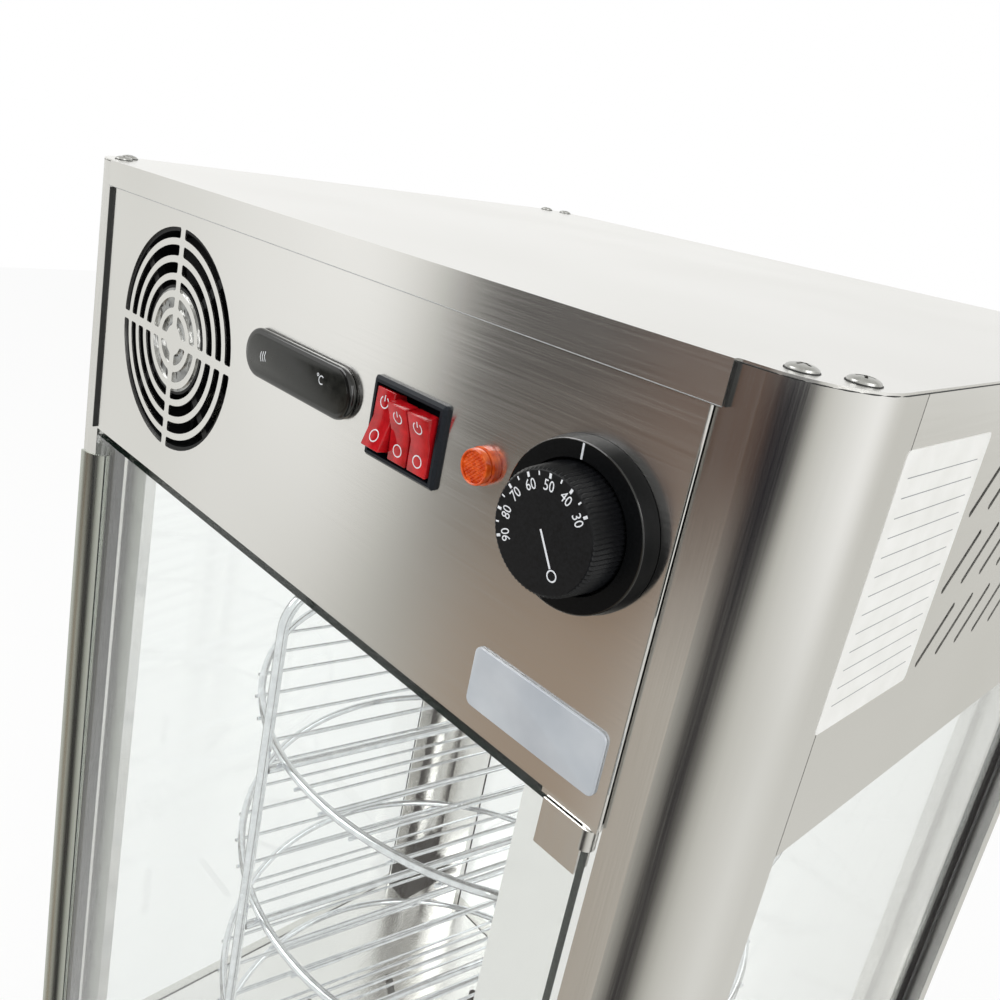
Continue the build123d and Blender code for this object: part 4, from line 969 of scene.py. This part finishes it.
def pyramids(pitch, height, reach):
    """Square pyramids in a net of diamonds, as far out as the reach."""
    bm = bmesh.new()
    half = pitch / 2
    corners = ((half, 0), (0, half), (-half, 0), (0, -half))
    count = int(reach / pitch) + 1
    for column in range(-count, count + 1):
        for row in range(-count, count + 1):
            x = (column + row) * half
            y = (column - row) * half
            if math.hypot(x, y) > reach - half:
                continue
            foot = [bm.verts.new((x + a, y + b, 0)) for a, b in corners]
            peak = bm.verts.new((x, y, height))
            bm.faces.new(list(reversed(foot)))
            for corner in range(4):
                bm.faces.new((foot[corner], foot[(corner + 1) % 4], peak))
    return as_mesh(bm)


facets = (pyramids(FACET_PITCH, FACET_HEIGHT, CAP_DISH + 0.4), at(0, 0, CAP_HEIGHT - 0.8))
cap_mesh = joined([(lathe(cap_rows, 48), IN_PLACE), facets])
cap = piece("pilot_cap", cap_mesh, lamp_place, orange_plastic)
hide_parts("pilot_lens")

# %% [markdown]
# ## Seams of the folded sheet
# Where two folded sheets meet, the eye sees a thin line, made here as a wire or a strip. The cut edge of
# the cover's lip is bright. The gap between the cover and the posts is in shade, and so are the gaps beside
# the left post and at the ends of the lip; that shade is painted, as dark wires and strips laid into the
# gaps.
# The right post ends in a bright narrow fold.

# %% Seams
LIP_DEPTH = 14.0
LIP_END = 203.0
POST_CORNER = 27.0
SHEET = 1.0
LEFT_STRIP = (0.9, 2.8)
LIP_STRIP = (0.8, 1.9)
FOLD_STRIP = (1.3, 0.4)
FOLD_TURN = -30.0
cover_low, cover_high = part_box("top_cover")
lip_z = roof - LIP_DEPTH * MM
cut_edges = []
for y in (cover_low.y + 0.15 * MM, cover_high.y - 0.15 * MM):
    ends = [(side * LIP_END * MM, y, lip_z) for side in (-1, 1)]
    cut_edges.append((ends, SEAM_WIRE * MM, False))
piece("lip_cut_edges", wires(cut_edges), IN_PLACE, galvanised)

post_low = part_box("front_posts")[0]
cover_width = (cover_high.x - cover_low.x) / MM
cover_depth = -2 * post_low.y / MM
joint_z = roof - SHEET * MM
cover_outline = oblong(cover_width, cover_depth, POST_CORNER)
# Painted shade: a dark wire round the cover's edge, where the cover shades the gap above the posts.
cover_gap_shadow_line = wires([([(x * MM, y * MM, joint_z) for x, y in cover_outline], SEAM_WIRE * MM, True)])
piece("cover_gap_painted_shadow", cover_gap_shadow_line, IN_PLACE, painted_gap_shade)

header_low, header_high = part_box("header_front_panel")
run = (lip_z - header_low.z) / MM - 0.5
run_z = header_low.z + run / 2 * MM
# Painted shade: dark strips in the gap beside the left post and at the ends of the lip, where shade falls.
left_gap_shadow_strip = prism(oblong(LEFT_STRIP[0], run, 0.1), LEFT_STRIP[1])
gap_shade_pieces = [(left_gap_shadow_strip, on_front(header_low.x - 0.5 * MM, header_low.y + MM, run_z))]
lip_end_shadow_strip = prism(oblong(LIP_STRIP[0], LIP_DEPTH - 1, 0.1), LIP_STRIP[1])
lip_middle_z = roof - (LIP_DEPTH + 1) / 2 * MM
for side in (-1, 1):
    gap_shade_pieces.append((lip_end_shadow_strip, on_front(side * (LIP_END + 0.45) * MM, post_low.y + 0.5 * MM, lip_middle_z)))
piece("painted_gap_shadow_strips", joined(gap_shade_pieces), IN_PLACE, painted_gap_shade)

fold = prism(oblong(FOLD_STRIP[0], run, 0.05, 1), FOLD_STRIP[1])
fold_corner = at(header_high.x + 0.6 * MM, header_low.y + 0.35 * MM, run_z)
fold_place = fold_corner @ turned_by(FOLD_TURN) @ FRONT_AXES @ TO_METRES
piece("post_folded_edge", fold, fold_place, steel_upright)

# %% [markdown]
# ## Labels
# Behind the grille, a round foil label covers the fan's hub. A small domed plate sits at the lower right
# of the header, and a paper sticker on the right side. Their faces are plain: two rings on the foil,
# thin ruled lines on the paper, and nothing on the plate.

# %% Hub label
HUB_LABEL = (27.5, 0.12)
HUB_RINGS = (25.5, 9.5)
fan_low, fan_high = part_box("fan_frame")
fan_x, fan_z = middle(fan_low, fan_high)
hub_label = lathe([(HUB_LABEL[0], 0), HUB_LABEL], 72)
piece("hub_label", hub_label, on_front(fan_x, fan_low.y, fan_z), foil)
rings = [(circle(HUB_RINGS[0], 72), True), (circle(HUB_RINGS[1], 40), True)]
rings_place = on_front(fan_x, fan_low.y - HUB_LABEL[1] * MM, fan_z)
piece("hub_label_rings", ink(rings, 0.5), rings_place, grey_ink)

# %% Header plate and side sticker
PLATE = (60.5, 24.0, 1.3)
PLATE_X = 164.75
PLATE_RISE = 21
STICKER = (70.0, 95.0, 0.2)
STICKER_BACK = 77
STICKER_RISE = 94.5
RULES = 13
RULE_PITCH = 6.4
RULE_REACH = 29
plate = prism(oblong(PLATE[0], PLATE[1], 3.0), PLATE[2], 0.6)
plate_place = on_front(PLATE_X * MM, header_low.y, header_low.z + PLATE_RISE * MM)
piece("header_plate", plate, plate_place, resin_plate)
side_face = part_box("header_side_panels")[1].x
sticker_y = header_low.y + STICKER_BACK * MM
sticker_z = header_low.z + STICKER_RISE * MM
sticker = prism(oblong(STICKER[0], STICKER[1], 2.0), STICKER[2])
sticker_place = on_right(side_face, sticker_y, sticker_z)
piece("side_sticker", sticker, sticker_place, coated_paper)
rules = []
for line in range(RULES):
    y = RULE_PITCH * ((RULES - 1) / 2 - line)
    rules.append(([(-RULE_REACH, y), (RULE_REACH, y)], False))
rule_place = on_right(side_face + STICKER[2] * MM, sticker_y, sticker_z)
piece("side_sticker_rules", ink(rules, 0.35), rule_place, grey_ink)

# %% [markdown]
# ## Camera
# The camera stands close to the upper right front corner and looks down along the header. It is rolled a
# little, and the shift moves the frame without changing the perspective.

# %% Camera
view = bpy.data.cameras.new("view_camera")
view.lens = 33.78
view.sensor_width = 36
view.shift_x = 0.0702
view.shift_y = -0.0863
view.clip_start = 0.01
camera = put("view_camera", view)
camera.location = (0.32953, -0.45024, 0.86991)
camera.rotation_euler = [math.radians(angle) for angle in (73.593025, -9.737868, 48.530843)]
bpy.context.scene.camera = camera

# %% [markdown]
# ## World
# Polished metal shows the room more than itself. The world is therefore a simple room for reflected rays.
# Three bands of plain tones run round it: the walls, the far floor and the near floor, each written as
# bearings in degrees from straight ahead of the cabinet towards its left. They are pale nearly all
# round, and dark in front, which draws the dark parts of the header and of the rolled posts. The camera
# and the glass see white, and everything else is lit evenly.

# %% Tones of the room
WHITE = "#FDFDFB"
PALE = "#E4E4E0"
STONE = "#CFCEC8"
ASH = "#B2B1AA"
TAUPE = "#9E8D7B"
BROWN = "#655248"
SLATE = "#454240"
CHARCOAL = "#262529"

# %% World
WALLS = (
    (-180, WHITE), (-140, PALE), (-60, WHITE), (12, PALE), (19, SLATE), (43.5, SLATE), (47, PALE),
    (52, WHITE), (64, PALE), (80, PALE), (100, WHITE), (180, WHITE),
)
FAR_FLOOR = (
    (-180, STONE), (-150, STONE), (-115, WHITE), (-75, PALE), (-48, STONE), (-38, ASH), (-31, SLATE),
    (-25, CHARCOAL), (2, CHARCOAL), (19, BROWN), (31, BROWN), (36, SLATE), (43.5, SLATE),
    (46.5, STONE), (50, WHITE), (62, PALE), (160, PALE), (180, STONE),
)
NEAR_FLOOR = (
    (-180, STONE), (-110, PALE), (-54, STONE), (-36, ASH), (-20, SLATE), (-8, CHARCOAL), (6, SLATE),
    (17, ASH), (26, STONE), (31, TAUPE), (41, TAUPE), (46, ASH), (50, STONE), (58, PALE), (150, PALE),
    (180, STONE),
)
CEILING = "#DEDEDA"
EVEN_LIGHT = "#D4D4D3"
TO_NEAR_FLOOR = {"From Min": -0.26, "From Max": -0.48}
TO_FLOOR = {"From Min": -0.04, "From Max": -0.16}
TO_CEILING = {"From Min": 0.4, "From Max": 0.85}
world = bpy.data.worlds.new("studio_room")
bpy.context.scene.world = world
world.use_nodes = True
room = world.node_tree
room.nodes.clear()
direction = add(room, "ShaderNodeTexCoord")
split = add(room, "ShaderNodeSeparateXYZ", None, {0: direction.outputs["Generated"]})
turn_round = {"operation": "MULTIPLY", 1: -1.0}
leftward = add(room, "ShaderNodeMath", turn_round, {0: split})
forward = add(room, "ShaderNodeMath", turn_round, {0: split.outputs[1]})
both = {0: leftward, 1: forward}
bearing = add(room, "ShaderNodeMath", {"operation": "ARCTAN2"}, both)
half_turn = {"From Min": -math.pi, "From Max": math.pi}
along = add(room, "ShaderNodeMapRange", half_turn, {"Value": bearing})
bands = []
for table in (WALLS, FAR_FLOOR, NEAR_FLOOR):
    band = add(room, "ShaderNodeValToRGB", None, {0: along})
    stops = band.color_ramp.elements
    for degrees, colour in table[1:-1]:
        stops.new((degrees + 180) / 360)
    for stop, (degrees, colour) in zip(stops, table):
        stop.position = (degrees + 180) / 360
        stop.color = linear(colour)
    bands.append(band.outputs[0])
height = split.outputs[2]
steep = add(room, "ShaderNodeMapRange", TO_NEAR_FLOOR, {"Value": height})
ground = add(room, "ShaderNodeMix", COLOUR_MIX, {0: steep, 6: bands[1], 7: bands[2]})
drop = add(room, "ShaderNodeMapRange", TO_FLOOR, {"Value": height})
sides = add(room, "ShaderNodeMix", COLOUR_MIX, {0: drop, 6: bands[0], 7: ground.outputs[2]})
rise = add(room, "ShaderNodeMapRange", TO_CEILING, {"Value": height})
sky = {**COLOUR_MIX, 7: linear(CEILING)}
above = add(room, "ShaderNodeMix", sky, {0: rise, 6: sides.outputs[2]})
rays = add(room, "ShaderNodeLightPath")
even = {**COLOUR_MIX, 6: linear(EVEN_LIGHT)}
lit = add(room, "ShaderNodeMix", even, {0: rays.outputs["Is Glossy Ray"], 7: above.outputs[2]})
straight_on = {0: rays.outputs["Is Camera Ray"], 1: rays.outputs["Is Transmission Ray"]}
seen = add(room, "ShaderNodeMath", {"operation": "MAXIMUM"}, straight_on)
white = {**COLOUR_MIX, 7: linear("#FFFFFF")}
shown = add(room, "ShaderNodeMix", white, {0: seen, 6: lit.outputs[2]})
background = add(room, "ShaderNodeBackground", None, {0: shown.outputs[2]})
add(room, "ShaderNodeOutputWorld", None, {0: background})

# %% [markdown]
# ## Floor and lamps
# The camera sees the floor as nearly white, and it still takes the cabinet's shadow. Three wide area
# lamps stand in for soft boxes: one to the front left, a weaker one to the right, and one above and
# behind, which is kept out of reflections, because it would burn a white patch into the top cover.

# %% Floor
FLOOR_REACH = 4.0
FLOOR_GLOW = 0.9
floor_mesh = bpy.data.meshes.new("studio_floor")
quarters = ((-1, -1), (1, -1), (1, 1), (-1, 1))
floor_corners = [(x * FLOOR_REACH, y * FLOOR_REACH, 0) for x, y in quarters]
floor_mesh.from_pydata(floor_corners, [], [(0, 1, 2, 3)])
floor = put("studio_floor", floor_mesh)
floor_paint = new_material("pale_floor", "#F2F2F0", 0.9)
tree = floor_paint.node_tree
paint = tree.nodes["Principled BSDF"]
looking = add(tree, "ShaderNodeLightPath")
glow = add(tree, "ShaderNodeEmission", {"Color": (1, 1, 1, 1), "Strength": 1.0})
direct_rays = {0: looking.outputs["Is Camera Ray"], 1: looking.outputs["Is Transmission Ray"]}
direct = add(tree, "ShaderNodeMath", {"operation": "MAXIMUM"}, direct_rays)
share = add(tree, "ShaderNodeMath", {"operation": "MULTIPLY", 1: FLOOR_GLOW}, {0: direct})
shaders = {0: share, 1: paint, 2: glow}
blend = add(tree, "ShaderNodeMixShader", None, shaders)
tree.links.new(blend.outputs[0], tree.nodes["Material Output"].inputs[0])
floor.data.materials.append(floor_paint)
floor.visible_glossy = False

# %% Lamps
LAMPS = (
    ("front_left_lamp", (-1.3, -1.7, 2.1), 1.6, 24),
    ("right_lamp", (1.9, -0.7, 1.5), 1.3, 12),
    ("rear_lamp", (0.3, 1.6, 2.3), 1.5, 10),
)
AIM = Vector((0, 0, 0.5))
for name, spot, size, power in LAMPS:
    lamp = bpy.data.lights.new(name, "AREA")
    lamp.shape = "SQUARE"
    lamp.size = size
    lamp.energy = power
    holder = put(name, lamp)
    holder.location = spot
    holder.visible_glossy = name != "rear_lamp"
    holder.rotation_euler = (AIM - Vector(spot)).to_track_quat("-Z", "Y").to_euler()

# %% [markdown]
# ## Finish
# The Standard view transform keeps the colours as they were picked.

# %% Finish
bpy.context.scene.view_settings.view_transform = "Standard"
bpy.context.view_layer.update()
